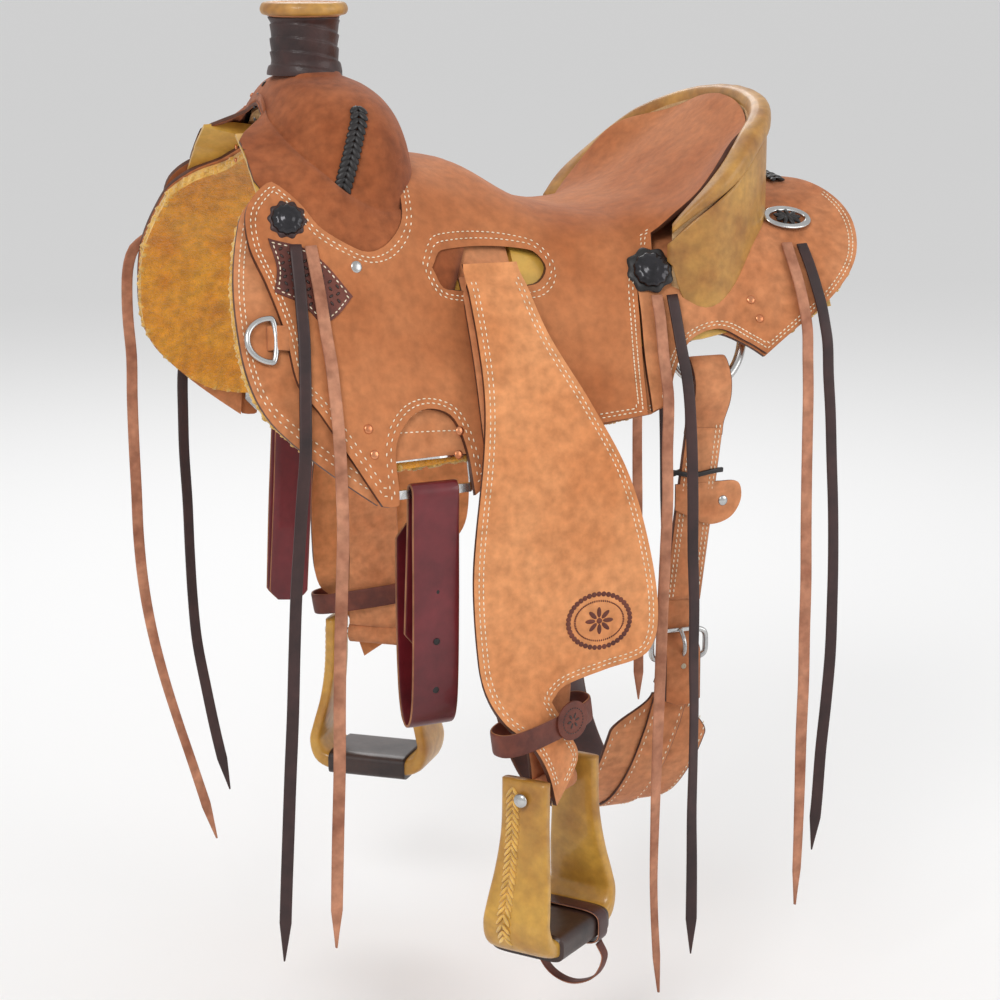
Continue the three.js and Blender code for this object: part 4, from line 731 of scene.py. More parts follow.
for name, side in sides.items():
    skirtPath = outlineThrough(flatten(skirtOutline), 6)
    cutPanel("skirt_leather_" + name, skirtPath, onSide(side, 0), layers["skirt"], "saddle", roughHide,
             ["skirt_" + name])
    stitchRows("skirt_stitching_" + name, "saddle", skirtPath, onSide(side, 0), keep=lambda x, s: s > 0.25 * girth)
    jockeyPath = outlineThrough(flatten(rearJockeyOutline), 6)
    onJockey = onSide(side, lambda x, v: overBar(x, v) + layers["jockey"])
    cutPanel("rear_jockey_leather_" + name, jockeyPath, onJockey, layers["jockey"], "saddle", roughHide,
             ["rear_jockey_" + name])
    stitchRows("rear_jockey_stitching_" + name, "saddle", jockeyPath, onJockey,
               keep=lambda x, s: s > 0.2 * girth and x > 96)
    fleecePath = outlineThrough(flatten(fleeceOutline), 8)
    wool = cutPanel("fleece_wool_" + name, fleecePath, onSide(side, -layers["skirt"] - 0.4), layers["fleece"],
                    "saddle", woolPile, ["fleece_" + name], 8, 1.2)
    wool.data.materials[1] = woolFringe
    random.seed(7 + side)
    tufts = bmesh.new()
    for x, s, dx, ds in insetLine(fleecePath, 1):
        for _ in range(3):
            spread = [random.uniform(-4, 4) for _ in range(2)]
            place = edgeFrame(onSide(side, -layers["skirt"] - random.uniform(2, 11)), x + spread[0] * dx,
                              s + spread[0] * ds, dx, ds, 0)
            bmesh.ops.create_icosphere(tufts, subdivisions=1, radius=1, matrix=place @ Matrix.Diagonal(
                (random.uniform(3, 5), random.uniform(3, 5.5), random.uniform(2, 3.6), 1)))
    newPiece("fleece_edge_" + name, tufts, "saddle", [woolFringe])
print("skirts made")


# fork: leather drawn over the wooden fork and flared out onto the bars
forkSections = [(0, -192, 68, 146), (60, -193, 76, 144), (100, -194, 77, 138), (135, -196, 70, 124),
                (158, -198, 58, 104), (173, -202, 44, 76), (181, -206, 30, 46)]
gullet = {"half": 56, "top": 122}


def forkAt(turn, z, skin=0.3):
    x, halfX, halfY = hermite([r[0] for r in forkSections], [r[1:] for r in forkSections], min(max(z, 0), 181))
    c, s = math.cos(turn), math.sin(turn)
    power = 2 / 2.35
    return Vector((x + math.copysign(abs(c) ** power, c) * (halfX + skin),
                   math.copysign(abs(s) ** power, s) * (halfY + skin), z))


def barTopAt(x, y, out=0.0):  # height of the bars' top surface at a place in plan
    v = rowAt(lambda w: -offSection(sideAt, x, w, overBar(x, w) + out)[0], -abs(y))
    return offSection(sideAt, x, v, overBar(x, v) + out)[1]


forkFoot = {}


def forkLow(turn):
    key = round_(turn * 1000)
    if key not in forkFoot:
        def above(z):
            at = forkAt(turn, z)
            floorZ = barTopAt(at.x, at.y, 1.2)
            if abs(at.y) < gullet["half"]:
                floorZ = max(floorZ, gullet["top"] - gullet["half"] + math.sqrt(gullet["half"] ** 2 - at.y ** 2))
            return z - floorZ
        low, high = -10.0, 175.0
        for _ in range(14):
            middle = (low + high) / 2
            if above(middle) > 0:
                high = middle
            else:
                low = middle
        forkFoot[key] = high
    return forkFoot[key]


def forkPlace(a, b):
    turn = 2 * math.pi * a
    low = forkLow(turn)
    if b < 0.16:  # flange on the bars
        base = forkAt(turn, low)
        reach = (0.16 - b) / 0.16
        flare = mix(4, 58, smoothStep(abs(base.y), 30, 70)) * reach
        x = max(base.x + math.cos(turn) * flare, -300)
        y = base.y + math.sin(turn) * flare
        if abs(base.y) < 24 and math.cos(turn) > 0:
            x = base.x + math.cos(turn) * flare * 0.4
        z = barTopAt(x, y, 1.2 + 7 * (1 - reach) ** 3)
        return Vector((x, y, z))
    if b < 0.84:
        t = (b - 0.16) / 0.68
        z = mix(low + 2, 181, t)
        lift = 7 * (1 - smoothStep(t, 0, 0.14))
        at = forkAt(turn, z)
        return Vector((at.x + math.cos(turn) * lift * 0.35, at.y + math.sin(turn) * lift * 0.35, z))
    t = (b - 0.84) / 0.16
    at = forkAt(turn, 181)
    ring = Vector((-210 + 31 * math.cos(turn), 31 * math.sin(turn), 187))
    blend = at.lerp(ring, t)
    blend.z = 181 + 6 * math.sin(t * math.pi / 2)
    return blend


fork = {"columns": 120, "rows": 56, "leather": 3.4, "braidWidth": 17, "braidPitch": 7.2}
bm = sheetMesh(fork["columns"], fork["rows"], forkPlace, True)
forkCover = newPiece("fork_leather", bm, "saddle", [forkHide, cutEdge, forkHide], ["fork_cover"])
hollow = forkCover.modifiers.new("thickness", "SOLIDIFY")
hollow.thickness = fork["leather"] / 1000
hollow.offset = -1
hollow.material_offset_rim = 1


def forkFrame(turn, z, lean=0.0, out=0.5):  # along the line, across it, out
    here = forkAt(turn, z, out)
    ahead = (forkAt(turn + lean * 0.02, z + 2, out) - here).normalized()
    across = (forkAt(turn + 0.02, z, out) - here).normalized()
    up = across.cross(ahead).normalized()
    if up.dot(here - Vector((-195, 0, z))) < 0:
        up = -up
    return Matrix.Translation(here) @ Matrix((ahead, up.cross(ahead), up)).transposed().to_4x4()


def bead(bm, matrix, size, turn=0.0, segments=1):
    matrix = matrix @ Matrix.Rotation(turn, 4, "Z") @ Matrix.Diagonal((size[0] / 2, size[1] / 2, size[2] / 2, 1))
    bmesh.ops.create_icosphere(bm, subdivisions=segments, radius=1, matrix=matrix)


def braid(bm, frames, wide):  # four black strands crossing
    for index, matrix in enumerate(frames):
        for half in (-1, 1):
            shifted = matrix @ Matrix.Translation((0, half * wide * 0.24, 1.6 + 0.5 * (index % 2)))
            bead(bm, shifted, (wide * 0.78, wide * 0.4, 4.2), half * math.radians(-42), 2)


for name, side in sides.items():
    bm = bmesh.new()
    steps = 19
    frames = []
    for i in range(steps):
        t = i / (steps - 1)
        z = mix(54, 152, t)
        turn = side * math.radians(mix(110, 86, t))
        frames.append(forkFrame(turn, z, side * -0.35, 1))
    braid(bm, frames, fork["braidWidth"])
    newPiece("fork_braid_" + name, bm, "saddle", [blackLace])
bm = bmesh.new()
for i in range(9):  # lace that closes the fork leather at the front
    t = i / 8
    bead(bm, forkFrame(math.pi + math.radians(mix(28, -12, t)), mix(84, 172, t), -1.2, 1.2), (9.5, 3.6, 2.6), 0.3)
newPiece("fork_lace", bm, "saddle", [blackLace])
bm = bmesh.new()
for i in range(6):  # tacks on the far side of the opening
    t = i / 5
    bead(bm, forkFrame(math.pi - math.radians(mix(24, 34, t)), mix(92, 158, t), 0, 0.8), (5.4, 5.4, 3), 0, 2)
newPiece("fork_tacks", bm, "saddle", [copperCap])
print("fork made")


# horn: turned cap with a rawhide edge and a wound neck
def turnedMesh(profile, centre, columns=64, ripple=lambda turn, i: 0.0):
    rows = len(profile) - 1

    def place(a, b):
        r, z = profile[round_(b * rows)]
        turn = 2 * math.pi * a
        r += ripple(turn, round_(b * rows)) if 0.5 < r else 0
        return Vector((centre[0] + r * math.cos(turn), centre[1] + r * math.sin(turn), z))
    return sheetMesh(columns, rows, place, True, True)


horn = {"x": -210, "cap": 41, "top": 253, "neck": 26, "wrap": 7}
capProfile = along([(26.4, 228), (31, 236.5), (36, 239.4), (40.4, 241.4), (42.2, 245), (42, 249), (39.6, 252), (34, 252.8),
                    (24, 252.2), (10, 251.6), (0.05, 251.4)], 34)
newPiece("horn_cap", turnedMesh(capProfile, (horn["x"], 0)), "saddle", [fenderHide], ["horn"])
edgeProfile = along([(37, 240.2), (41.4, 241), (43.6, 244), (43.8, 248), (41.6, 252), (38, 253.3), (37.2, 252.4)], 16)
newPiece("horn_cap_edge", turnedMesh(edgeProfile, (horn["x"], 0), 96, lambda turn, i: 0.25 * math.sin(turn * 60)),
         "saddle", [bindHide])
windings = []
for i in range(57):
    t = i / 56
    radius = mix(horn["neck"] + 12, horn["neck"] + 7.6, smoothStep(t, 0, 0.28)) + 2.2 * smoothStep(t, 0.86, 1)
    windings.append((radius, mix(181.5, 238.5, t)))


def windingRipple(turn, i):  # overlapping turns of a wide strip
    z = windings[i][1]
    lap = (z - 181) / 13.5 + 0.9 * math.sin(turn + 0.6) * 0.55 + turn / (2 * math.pi)
    return 1.9 * (lap % 1) - 0.6 + 0.3 * math.sin(3 * turn + i * 0.2)


newPiece("horn_wrapping", turnedMesh([(24, 181.5)] + windings + [(24, 238.5)], (horn["x"], 0), 96,
                                     lambda turn, i: windingRipple(turn, min(max(i - 1, 0), 56)) if 0 < i < 58 else 0),
         "saddle", [wrapHide], ["horn_wrap"])
print("horn made")

# cantle: rolled binding and the leather behind it
roll = {"half": 12, "height": 27}


def bindingPlace(a, b):
    turn = 2 * math.pi * a
    c, s = math.cos(turn), math.sin(turn)
    taper = min(1, 0.35 + 4 * min(b, 1 - b))
    across = math.copysign(abs(c) ** 0.72, c) * roll["half"]
    at = rimOut(0.06 + 0.88 * b, roll["half"] + 2.2 + across)
    return Vector((at.x, at.y, at.z - 6 + math.copysign(abs(s) ** 0.72, s) * 0.5 * roll["height"] * taper
                   + 0.4 * noise.noise(Vector((at.x, at.y, 0)) * 0.06)))


newPiece("cantle_roll", sheetMesh(24, 110, bindingPlace, True, True), "saddle", [bindHide], ["cantle_binding"])


def cantleBack(a, b):
    at = rimOut(0.05 + 0.9 * a, 22.4)
    deep = mix(34, 160, smoothStep(min(a, 1 - a), 0, 0.08))
    return Vector((at.x, at.y, mix(at.z - 17, max(barTopAt(min(at.x, 330), at.y, 5) - 3, at.z - deep), b)))


bm = sheetMesh(72, 20, cantleBack)
backCover = newPiece("cantle_back_leather", bm, "saddle", [bindHide, cutEdge, bindHide])
backing = backCover.modifiers.new("thickness", "SOLIDIFY")
backing.thickness = 0.0024
backing.material_offset_rim = 1
bm = bmesh.new()
frames = []
for i in range(13):  # braid across the back of the jockeys
    y = mix(-44, 44, i / 12)
    here = Vector((300, y, barTopAt(300, y, 6.4)))
    ahead = (Vector((300, y + 3, barTopAt(300, y + 3, 6.4))) - here).normalized()
    frames.append(Matrix.Translation(here) @ Matrix((ahead, Vector((0, 0, 1)).cross(ahead), Vector((0, 0, 1)))).transposed().to_4x4())
braid(bm, frames, 16)
newPiece("back_braid", bm, "saddle", [blackLace])
print("cantle made")

# fenders, hung and turned
hangLine = [(4, 177), (24, 188), (58, 206), (100, 225), (145, 240), (190, 250), (250, 256), (330, 260), (420, 263),
            (530, 265)]
fender = {"leather": 4.5, "turn": 38, "twistTop": -375, "twistFoot": -500, "leatherX": -76}
stirrupAt = {"near": (-44, -670), "off": (-58, -650)}
fenderOutline = [
    (-104, 6, 1), (-105, -118), (-126, -277), (-122, -380), (-110, -428), (-90, -452), (-64, -520, 1),
    (-26, -490), (-22, -476), (-36, -452), (-50, -418, 1), (-34, -404), (10, -392), (54, -380), (67, -353),
    (63, -292), (39, -199), (5, -128), (-30, -60), (-48, 6, 1)]


def hangAt(z):
    return hermite([h[0] for h in hangLine], [h[1:] for h in hangLine], -z)[0]


def hangTurned(name):  # a place in the flat fender, turned towards the foot like the stirrup
    side = sides[name]
    footX = stirrupAt[name][0]

    def place(x, z, out=0.0):
        x += (footX + 44) * (1 - smoothStep(z, fender["twistFoot"], -120))
        turn = math.radians(fender["turn"]) * (1 - smoothStep(z, fender["twistFoot"], fender["twistTop"]))
        middle = mix(footX, fender["leatherX"], smoothStep(z, fender["twistFoot"], -120))
        stand = 8 + 8 * (1 - smoothStep(z, -448, -405))
        inward = 9 * smoothStep(z, -22, 6)
        dx, dy = x - middle, stand + out - inward
        return Vector((middle + dx * math.cos(turn) + dy * math.sin(turn),
                       side * (hangAt(min(z, -4)) - 8 + dy * math.cos(turn) - dx * math.sin(turn)), z))
    return place


def stirrupPlace(name):  # u along the legs' spread, w through the tread, h up
    side, (footX, footZ) = sides[name], stirrupAt[name]
    turn = math.radians(fender["turn"])
    footY = hangAt(footZ + 164) - 8

    def place(u, w, h):
        return Vector((footX + u * math.cos(turn) + w * math.sin(turn),
                       side * (footY - u * math.sin(turn) + w * math.cos(turn)), footZ + h))
    return place


def surfaceBead(bm, place, x, s, size, out=0.0, turn=0.0, segments=2, dx=1.0, ds=0.0):
    bead(bm, edgeFrame(place, x, s, dx, ds, out), size, turn, segments)


stamp = {"x": 4, "z": -341, "halfX": 33, "halfZ": 27}
for name, side in sides.items():
    body = "fender_" + name
    onFender = hangTurned(name)
    face = lambda x, z, out=0.0, at=onFender: at(x, z, out + fender["leather"] / 2)
    fenderPath = outlineThrough(fenderOutline, 6)
    cutPanel("fender_leather_" + name, fenderPath, face, fender["leather"], body, fenderHide,
             ["fender_" + name], 8, 0.7)
    stitchRows("fender_stitching_" + name, body, fenderPath, face, keep=lambda x, z: -500 < z < -8)
    bm = bmesh.new()
    for i in range(40):
        turn = 2 * math.pi * i / 40
        surfaceBead(bm, face, stamp["x"] + stamp["halfX"] * math.cos(turn), stamp["z"] + stamp["halfZ"] * math.sin(turn),
                    (5.4, 5.4, 1.5), 0.1)
    for i in range(72):
        turn = 2 * math.pi * i / 72
        surfaceBead(bm, face, stamp["x"] + 26 * math.cos(turn), stamp["z"] + 20 * math.sin(turn), (2.6, 1.6, 1.1), 0.1,
                    -turn, 1)
    for i in range(8):
        turn = 2 * math.pi * i / 8
        surfaceBead(bm, face, stamp["x"] + 9.5 * math.cos(turn), stamp["z"] + 8.5 * math.sin(turn), (11, 4.6, 1.3), 0.1, turn)
    surfaceBead(bm, face, stamp["x"], stamp["z"], (6, 6, 1.8), 0.2)
    newPiece("fender_ornament_" + name, bm, body, [stampHide])

    # stirrup leather behind it, down to the bolt
    footZ = stirrupAt[name][1] + 164

    def leatherRoute(z, at=onFender):
        middle = fender["leatherX"] if z > -120 else mix(-44, fender["leatherX"], smoothStep(z, fender["twistFoot"], -120))
        return at(middle, z, -8 - 3.8 - 1.8 - 8 * (1 - smoothStep(z, -448, -405)) + 0.0)
    turnAt = lambda z: math.radians(fender["turn"]) * (1 - smoothStep(z, fender["twistFoot"], fender["twistTop"]))
    zs = [mix(-9, footZ + 10, i / 24) for i in range(25)]
    route = [leatherRoute(z) for z in zs]
    bm = sweep(route, 61, 6.8, 60, lambda t: (math.cos(turnAt(mix(-9, footZ + 10, t))),
                                             -side * math.sin(turnAt(mix(-9, footZ + 10, t))), 0), edge=True)
    newPiece("stirrup_strap_" + name, bm, body, [cinchHide, cutEdge], ["stirrup_leather_" + name])
    inStirrup = stirrupPlace(name)
    bm = sweep([inStirrup(u, 0, 164) for u in (-31, -10, 10, 31)], 25, 25, 8, lambda t: (0, 0, 1), sides=28, round=True)
    newPiece("leather_sleeve_" + name, bm, body, [cinchHide])

    # stirrup: rawhide over wood, laced down its front leg
    legHalf, footHalf, wall = 56, 75, 14
    bowLine = [(-49, 182), (-49.5, 150), (-51, 120), (-56, 84), (-64, 52), (-67, 36), (-60, 18), (-46, 11.5), (-24, 11),
               (0, 11), (24, 11), (46, 11.5), (60, 18), (67, 36), (64, 52), (56, 84), (51, 120), (49.5, 150), (49, 182)]
    across = inStirrup(0, 1, 0) - inStirrup(0, 0, 0)
    legWide = lambda t: mix(51, 76, 1 - smoothStep(abs(t - 0.5), 0.12, 0.42))
    legDeep = lambda t: mix(13.4, 21, 1 - smoothStep(abs(t - 0.5), 0.1, 0.2))
    bm = sweep([inStirrup(u, 0, h) for u, h in bowLine], legWide, legDeep, 110, lambda t: across, sides=24)
    newPiece("stirrup_bow_" + name, bm, "stirrup_" + name, [rawHide], ["stirrup_" + name])
    bm = bmesh.new()
    line = along([(-49, 176), (-49.5, 150), (-51, 120), (-56, 84), (-64, 52), (-69, 36), (-62, 16)], 25)
    for i in range(1, 24):
        u, h = line[i]
        du, dh = line[i + 1][0] - u, line[i + 1][1] - h
        length = math.hypot(du, dh)
        down = (inStirrup(du / length, 0, dh / length) - inStirrup(0, 0, 0))
        outward = across.cross(down).normalized()
        if outward.dot(inStirrup(-1, 0, 0) - inStirrup(0, 0, 0)) < 0:
            outward = -outward
        here = inStirrup(u, -11, h) + outward * 7
        matrix = Matrix.Translation(here) @ Matrix((down, outward.cross(down), outward)).transposed().to_4x4()
        for half in (-1, 1):
            bead(bm, matrix @ Matrix.Translation((0, half * 3.6, 0)), (14, 3.6, 3.6), half * 0.6, 2)
    newPiece("stirrup_lacing_" + name, bm, "stirrup_" + name, [woolFringe])
    bm = sweep([inStirrup(u, 0, 11) for u in (-47, -20, 0, 20, 47)], 83, 29, 40, lambda t: across, sides=40)
    newPiece("tread_leather_" + name, bm, "stirrup_" + name, [treadHide], ["tread_cover_" + name])
    bm = sweep([inStirrup(u, 0, 164) for u in (-61, -20, 20, 61)], 10, 10, 8, lambda t: (0, 0, 1), sides=20, round=True)
    for end in (-1, 1):
        bead(bm, Matrix.Translation(inStirrup(end * 60, 0, 164)) @ Matrix.Rotation(-side * math.radians(38), 4, "Z"), (7, 15, 15), 0, 3)
    newPiece("bolt_rod_" + name, bm, "stirrup_" + name, [brightSteel], ["stirrup_bolt_" + name])

    # hobble strap round the neck with its round end
    hobbleZ = -440
    angle = -side * turnAt(hobbleZ)
    middle = Vector((mix(stirrupAt[name][0], fender["leatherX"], smoothStep(hobbleZ, -500, -120)) - 11,
                     side * (hangAt(hobbleZ) + 1), hobbleZ))
    tilt = Matrix.Translation(middle) @ Matrix.Rotation(angle, 4, "Z") @ Matrix.Rotation(math.radians(-9), 4, "Y")
    ring = []
    for i in range(40):
        turn = 2 * math.pi * i / 40
        c, s = math.cos(turn), math.sin(turn)
        ring.append(tilt @ Vector((math.copysign(abs(c) ** 0.55, c) * 59.5, math.copysign(abs(s) ** 0.8, s) * 20.5, 0)))
    upright = tilt.to_3x3() @ Vector((0, 0, 1))
    bm = sweep(ring, 24, 3, 120, lambda t: upright, closed=True, edge=True)
    newPiece("hobble_band_" + name, bm, body, [stampHide, wineEdge], ["hobble_strap_" + name])
    bm = bmesh.new()
    endPlace = tilt @ Matrix.Translation((20, side * 23.2, 2)) @ Matrix.Rotation(side * math.radians(-90), 4, "X")
    bmesh.ops.create_cone(bm, cap_ends=True, segments=36, radius1=20, radius2=20, depth=2.6, matrix=endPlace)
    disc = newPiece("hobble_end_" + name, bm, body, [stampHide])
    finishEdges(disc, 0.0008)
    bm = bmesh.new()
    for i in range(26):
        turn = 2 * math.pi * i / 26
        bead(bm, endPlace @ Matrix.Translation((13 * math.cos(turn), 13 * math.sin(turn), 1.3)), (2.6, 1.5, 1), turn + math.pi / 2)
    for i in range(6):
        turn = 2 * math.pi * i / 6
        bead(bm, endPlace @ Matrix.Translation((5.4 * math.cos(turn), 5.4 * math.sin(turn), 1.3)), (7, 3, 1.2), turn)
    newPiece("hobble_ornament_" + name, bm, body, [treadHide])
print("fenders and stirrups made")


# rigging straps: the latigo and the off billet, doubled round the plates' bottom bars
plate = {"x": -160, "z": -202, "latigoWidth": 50, "thick": 3.6}


def faceAt(x, z):
    return sideAt(x, rowAt(lambda v: sideAt(x, v)[1], z))[0]


plateY = faceAt(plate["x"], plate["z"]) - 2.6
plateSlope = (faceAt(plate["x"] + 20, plate["z"]) - faceAt(plate["x"] - 20, plate["z"])) / 40
latigoLine = [(-22, -158), (-16, -100), (-9, -30), (-7.6, 0), (-5.2, 5.6), (0, 8), (5.2, 5.6), (7.6, 0), (7, -30),
              (6, -120), (2, -200), (-5, -228), (-17, -238), (-31, -230), (-40, -200), (-45, -130), (-44, -40)]
billetLine = [(-12, -224), (-12, -100), (-9, -30), (-7.6, 0), (-5.2, 5.6), (0, 8), (5.2, 5.6), (7.6, 0), (7, -30),
              (6, -120), (0, -224)]


def tipped(width, tip):
    return lambda t: width * min(1, 0.55 + t * tip) * min(1, 0.55 + (1 - t) * tip)


bm = sweep([(plate["x"], -(plateY + y), plate["z"] + z) for y, z in latigoLine], tipped(50, 22), 3.6, 190,
           lambda t: (1, -plateSlope, 0), edge=True, sides=20)
newPiece("latigo_strap", bm, "latigo", [wineHide, wineEdge], ["latigo_near"])
bm = sweep([(plate["x"] + z * 0.06, plateY + y, plate["z"] + z) for y, z in billetLine], tipped(44, 22), 3.6, 130,
           lambda t: (1, plateSlope, 0), edge=True, sides=20)
newPiece("off_billet_strap", bm, "billet", [wineHide, wineEdge], ["billet_off"])
bm = bmesh.new()
# flat black discs on the latigo's holes: the shade inside each hole is painted on, not cut
for z in (-98, -148, -198):
    y = 6 if z > -160 else 2.4
    bead(bm, Matrix.Translation((plate["x"], -(plateY + y + 1.7), plate["z"] + z)) @ Matrix.Rotation(math.pi / 2, 4, "X"),
         (7, 7, 1.2), 0, 2)
newPiece("latigo_hole_painted_shade", bm, "latigo", [blackLace])
bm = bmesh.new()
# flat black discs on the off billet's holes: the shade inside each hole is painted on, not cut
for z in (-80, -120, -160, -200):
    y = mix(7, 5, -z / 224) if z > -130 else mix(6, 0.4, (-z - 120) / 104)
    bead(bm, Matrix.Translation((plate["x"] + z * 0.06, plateY + y + 1.7, plate["z"] + z)) @ Matrix.Rotation(
        math.pi / 2, 4, "X"), (7, 7, 1.2), 0, 2)
newPiece("off_billet_hole_painted_shade", bm, "billet", [blackLace])

facingOutline = [(-214, -150, 1), (-196, -120), (-160, -110), (-124, -120), (-108, -150, 1), (-108, -171, 1), (-214, -171, 1)]
for name, side in sides.items():
    onPlate = onSide(side, -0.5)
    facingPath = outlineThrough(flatten(facingOutline), 5)
    cutPanel("plate_facing_" + name, facingPath, onPlate, 1.6, "saddle", roughHide)
    archTop = lambda x, s: s < rowAt(lambda w: sideAt(x, w)[1], -148) * girth
    stitchRows("plate_stitching_" + name, "saddle", facingPath, onPlate, (11, 16), archTop)
print("rigging made")


# metal: dees, buckles, conchos
def ringAt(points, radius, name, body, replaces, finish=None):
    count = len(points)
    bm = sweep(points, 2 * radius, 2 * radius, count * 3, lambda t: (0.3, 1, 0.2), closed=True, sides=16, round=True)
    return newPiece(name, bm, body, [finish or brightSteel], replaces)


def frameOn(side, sectionAt, x, z, out):  # lengthwise, across, outwards
    lift = out if callable(out) else (lambda px, v: out)

    def at(px, v):
        y, height = offSection(sectionAt, px, v, lift(px, v))
        return Vector((px, y, height))
    v = rowAt(lambda w: at(x, w).z, z)
    here = at(x, v)
    ahead = (at(x + 5, v) - here).normalized()
    up = ahead.cross(at(x, v + 0.02) - here).normalized()
    for vector in (here, ahead, up):
        vector.y *= side
    return Matrix.Translation(here) @ Matrix((ahead, up.cross(ahead), up)).transposed().to_4x4()


def rosette(name, matrix, radius, ovalY, lobes, finish, body="saddle"):  # scalloped leather under a concho
    def place(a, b):
        turn = 2 * math.pi * a
        r = mix(0.2, radius * (1 + 0.07 * math.cos(lobes * turn)), b)
        dome = 2.6 * (1 - b ** 3) - 1.8 * smoothStep(b, 0.9, 1)
        return matrix @ Vector((r * math.cos(turn), r * ovalY * math.sin(turn), dome))
    bm = sheetMesh(lobes * 8, 10, place, True)
    return newPiece(name, bm, body, [finish])


for name, side in sides.items():
    deeAt = frameOn(side, sideAt, -318, -50, 3.8)
    points = []
    for i in range(36):
        turn = 2 * math.pi * i / 36
        c = math.cos(turn)
        points.append(deeAt @ Vector((c * (24 if c < 0 else 4) + 8, side * 21 * math.sin(turn) * -1, 0)))
    ringAt(points, 3, "breast_ring_" + name, "breast_dee_" + name, ["breast_dee_" + name])
    tabAt = frameOn(side, sideAt, -304, -50, 1)
    bm = sweep([tabAt @ Vector((x, 0, z)) for x, z in ((30, -0.5), (18, 0.6), (8, 4), (-1, 4.6), (-7, 1.5), (-9, -1))], 24, 2.6,
               30, lambda t: tabAt.to_3x3() @ Vector((0, 1, 0)), edge=True)
    newPiece("breast_tab_" + name, bm, "saddle", [roughHide, cutEdge])

    points = []
    for i in range(48):
        turn = 2 * math.pi * i / 48
        z = math.sin(turn) * (59 if math.sin(turn) < 0 else 5)
        points.append(Vector((160 + 45 * math.cos(turn), side * (179 - 0.36 * (z + 59)), -70 + z)))
    ringAt(points, 5, "rigging_ring_" + name, "saddle", ["flank_dee_" + name])

    front = frameOn(side, seatAt, -279, 56, 0.6)
    rosette("front_rosette_" + name, front, 19, 1, 10, browHide)
    disc = [(0.05, 8.4), (3.6, 8.2), (5.4, 7.4), (7.5, 6.6), (10, 6.4), (12.5, 5), (14.5, 3.4), (15.4, 1.2)]
    for label, at, grow in (("front", front, 1.0), ("rear", frameOn(side, seatAt, 99, -10, 8.2), 1.18)):
        profile = along(disc, 20)

        def place(a, b, at=at, grow=grow, profile=profile):
            r, z = profile[round_(b * 19)]
            turn = 2 * math.pi * a
            ridge = 1 + 0.035 * math.cos(12 * turn) * smoothStep(r, 5, 12)
            return at @ Vector((r * grow * ridge * math.cos(turn), r * grow * ridge * math.sin(turn), z * 0.95))
        bm = sheetMesh(96, 19, place, True, True)
        newPiece(label + "_button_" + name, bm, "saddle", [blackSteel], [label + "_concho_" + name])
    rosette("rear_rosette_" + name, frameOn(side, seatAt, 99, -10, 5.4), 24, 1, 8, blackLace)
    lift = lambda x, v: overBar(x, v) + layers["jockey"] + 4
    ringFrame = frameOn(side, sideAt, 274, 30, lift)
    points = [ringFrame @ Vector((25.5 * math.cos(2 * math.pi * i / 40), 13.5 * math.sin(2 * math.pi * i / 40), 1)) for i in range(40)]
    bm = sweep(points, 7, 3.4, 120, lambda t: (ringFrame.to_3x3() @ Vector((math.cos(2 * math.pi * t), math.sin(2 * math.pi * t), 0))),
               closed=True, sides=16, round=True)
    newPiece("oval_ring_" + name, bm, "saddle", [brightSteel], ["ring_concho_" + name])
    knot = bmesh.new()
    for i in range(9):
        turn = 2 * math.pi * i / 9
        bead(knot, ringFrame @ Matrix.Translation((9 * math.cos(turn), 4.5 * math.sin(turn), 1.5)), (16, 6, 5), turn, 2)
    newPiece("ring_knot_" + name, knot, "saddle", [blackLace])
    caps = bmesh.new()
    onSeatTop = lambda x, s, out=0.0: onSeat(x, side * s, out)
    for x, s in ((-224, 378), (-220, 392), (-128, 376), (-132, 392)):
        surfaceBead(caps, onSeatTop, x, s, (9, 9, 3.2), 0.2, 0, 3)
    onJockeyTop = onSide(side, lambda x, v: overBar(x, v) + layers["jockey"])
    for x, s in ((204, 231), (212, 258)):
        surfaceBead(caps, onJockeyTop, x, s, (9, 9, 3.2), 0.2, 0, 3)
    newPiece("copper_rivets_" + name, caps, "saddle", [copperCap])
    screw = bmesh.new()
    surfaceBead(screw, onSeatTop, -217, 222, (12, 12, 3.6), 0.2, 0, 3)
    newPiece("fork_screw_" + name, screw, "saddle", [brightSteel])

    # stamped diamond on the front of the jockey
    patchPath = outlineThrough([(-300, 204, 1), (-262, 214), (-224, 255, 1), (-240, 276), (-258, 292, 1), (-276, 272),
                                (-302, 262, 1), (-296, 234)], 5)
    patchPath = [(x, s) for x, s in patchPath]
    patchTop = lambda x, s, out=0.0: onSeat(x, side * s, out + 1.2)
    cutPanel("stamped_patch_" + name, patchPath, patchTop, 1.4, "saddle", stampHide, (), 6)
    bm = bmesh.new()
    for row in range(12):
        for column in range(12):
            x, s = -304 + column * 7.2, 206 + row * 7.6 + (column % 2) * 3.8
            if distanceTo(patchPath, x, s) > 6 and inside(patchPath, x, s):
                surfaceBead(bm, patchTop, x, s, (5.6, 3, 1.6), 0.1, 0.8 if (row + column) % 2 else -0.8, 1)
    newPiece("patch_tooling_" + name, bm, "saddle", [treadHide])
    stitchRows("patch_stitching_" + name, "saddle", patchPath, patchTop, (3,), out=0.2)
print("fittings made")

# flank rigging: billets over the dees, buckles, and the cinch that hangs between them
flank = {"near": 140, "off": 104, "y": 158, "z": -408, "width": 42}


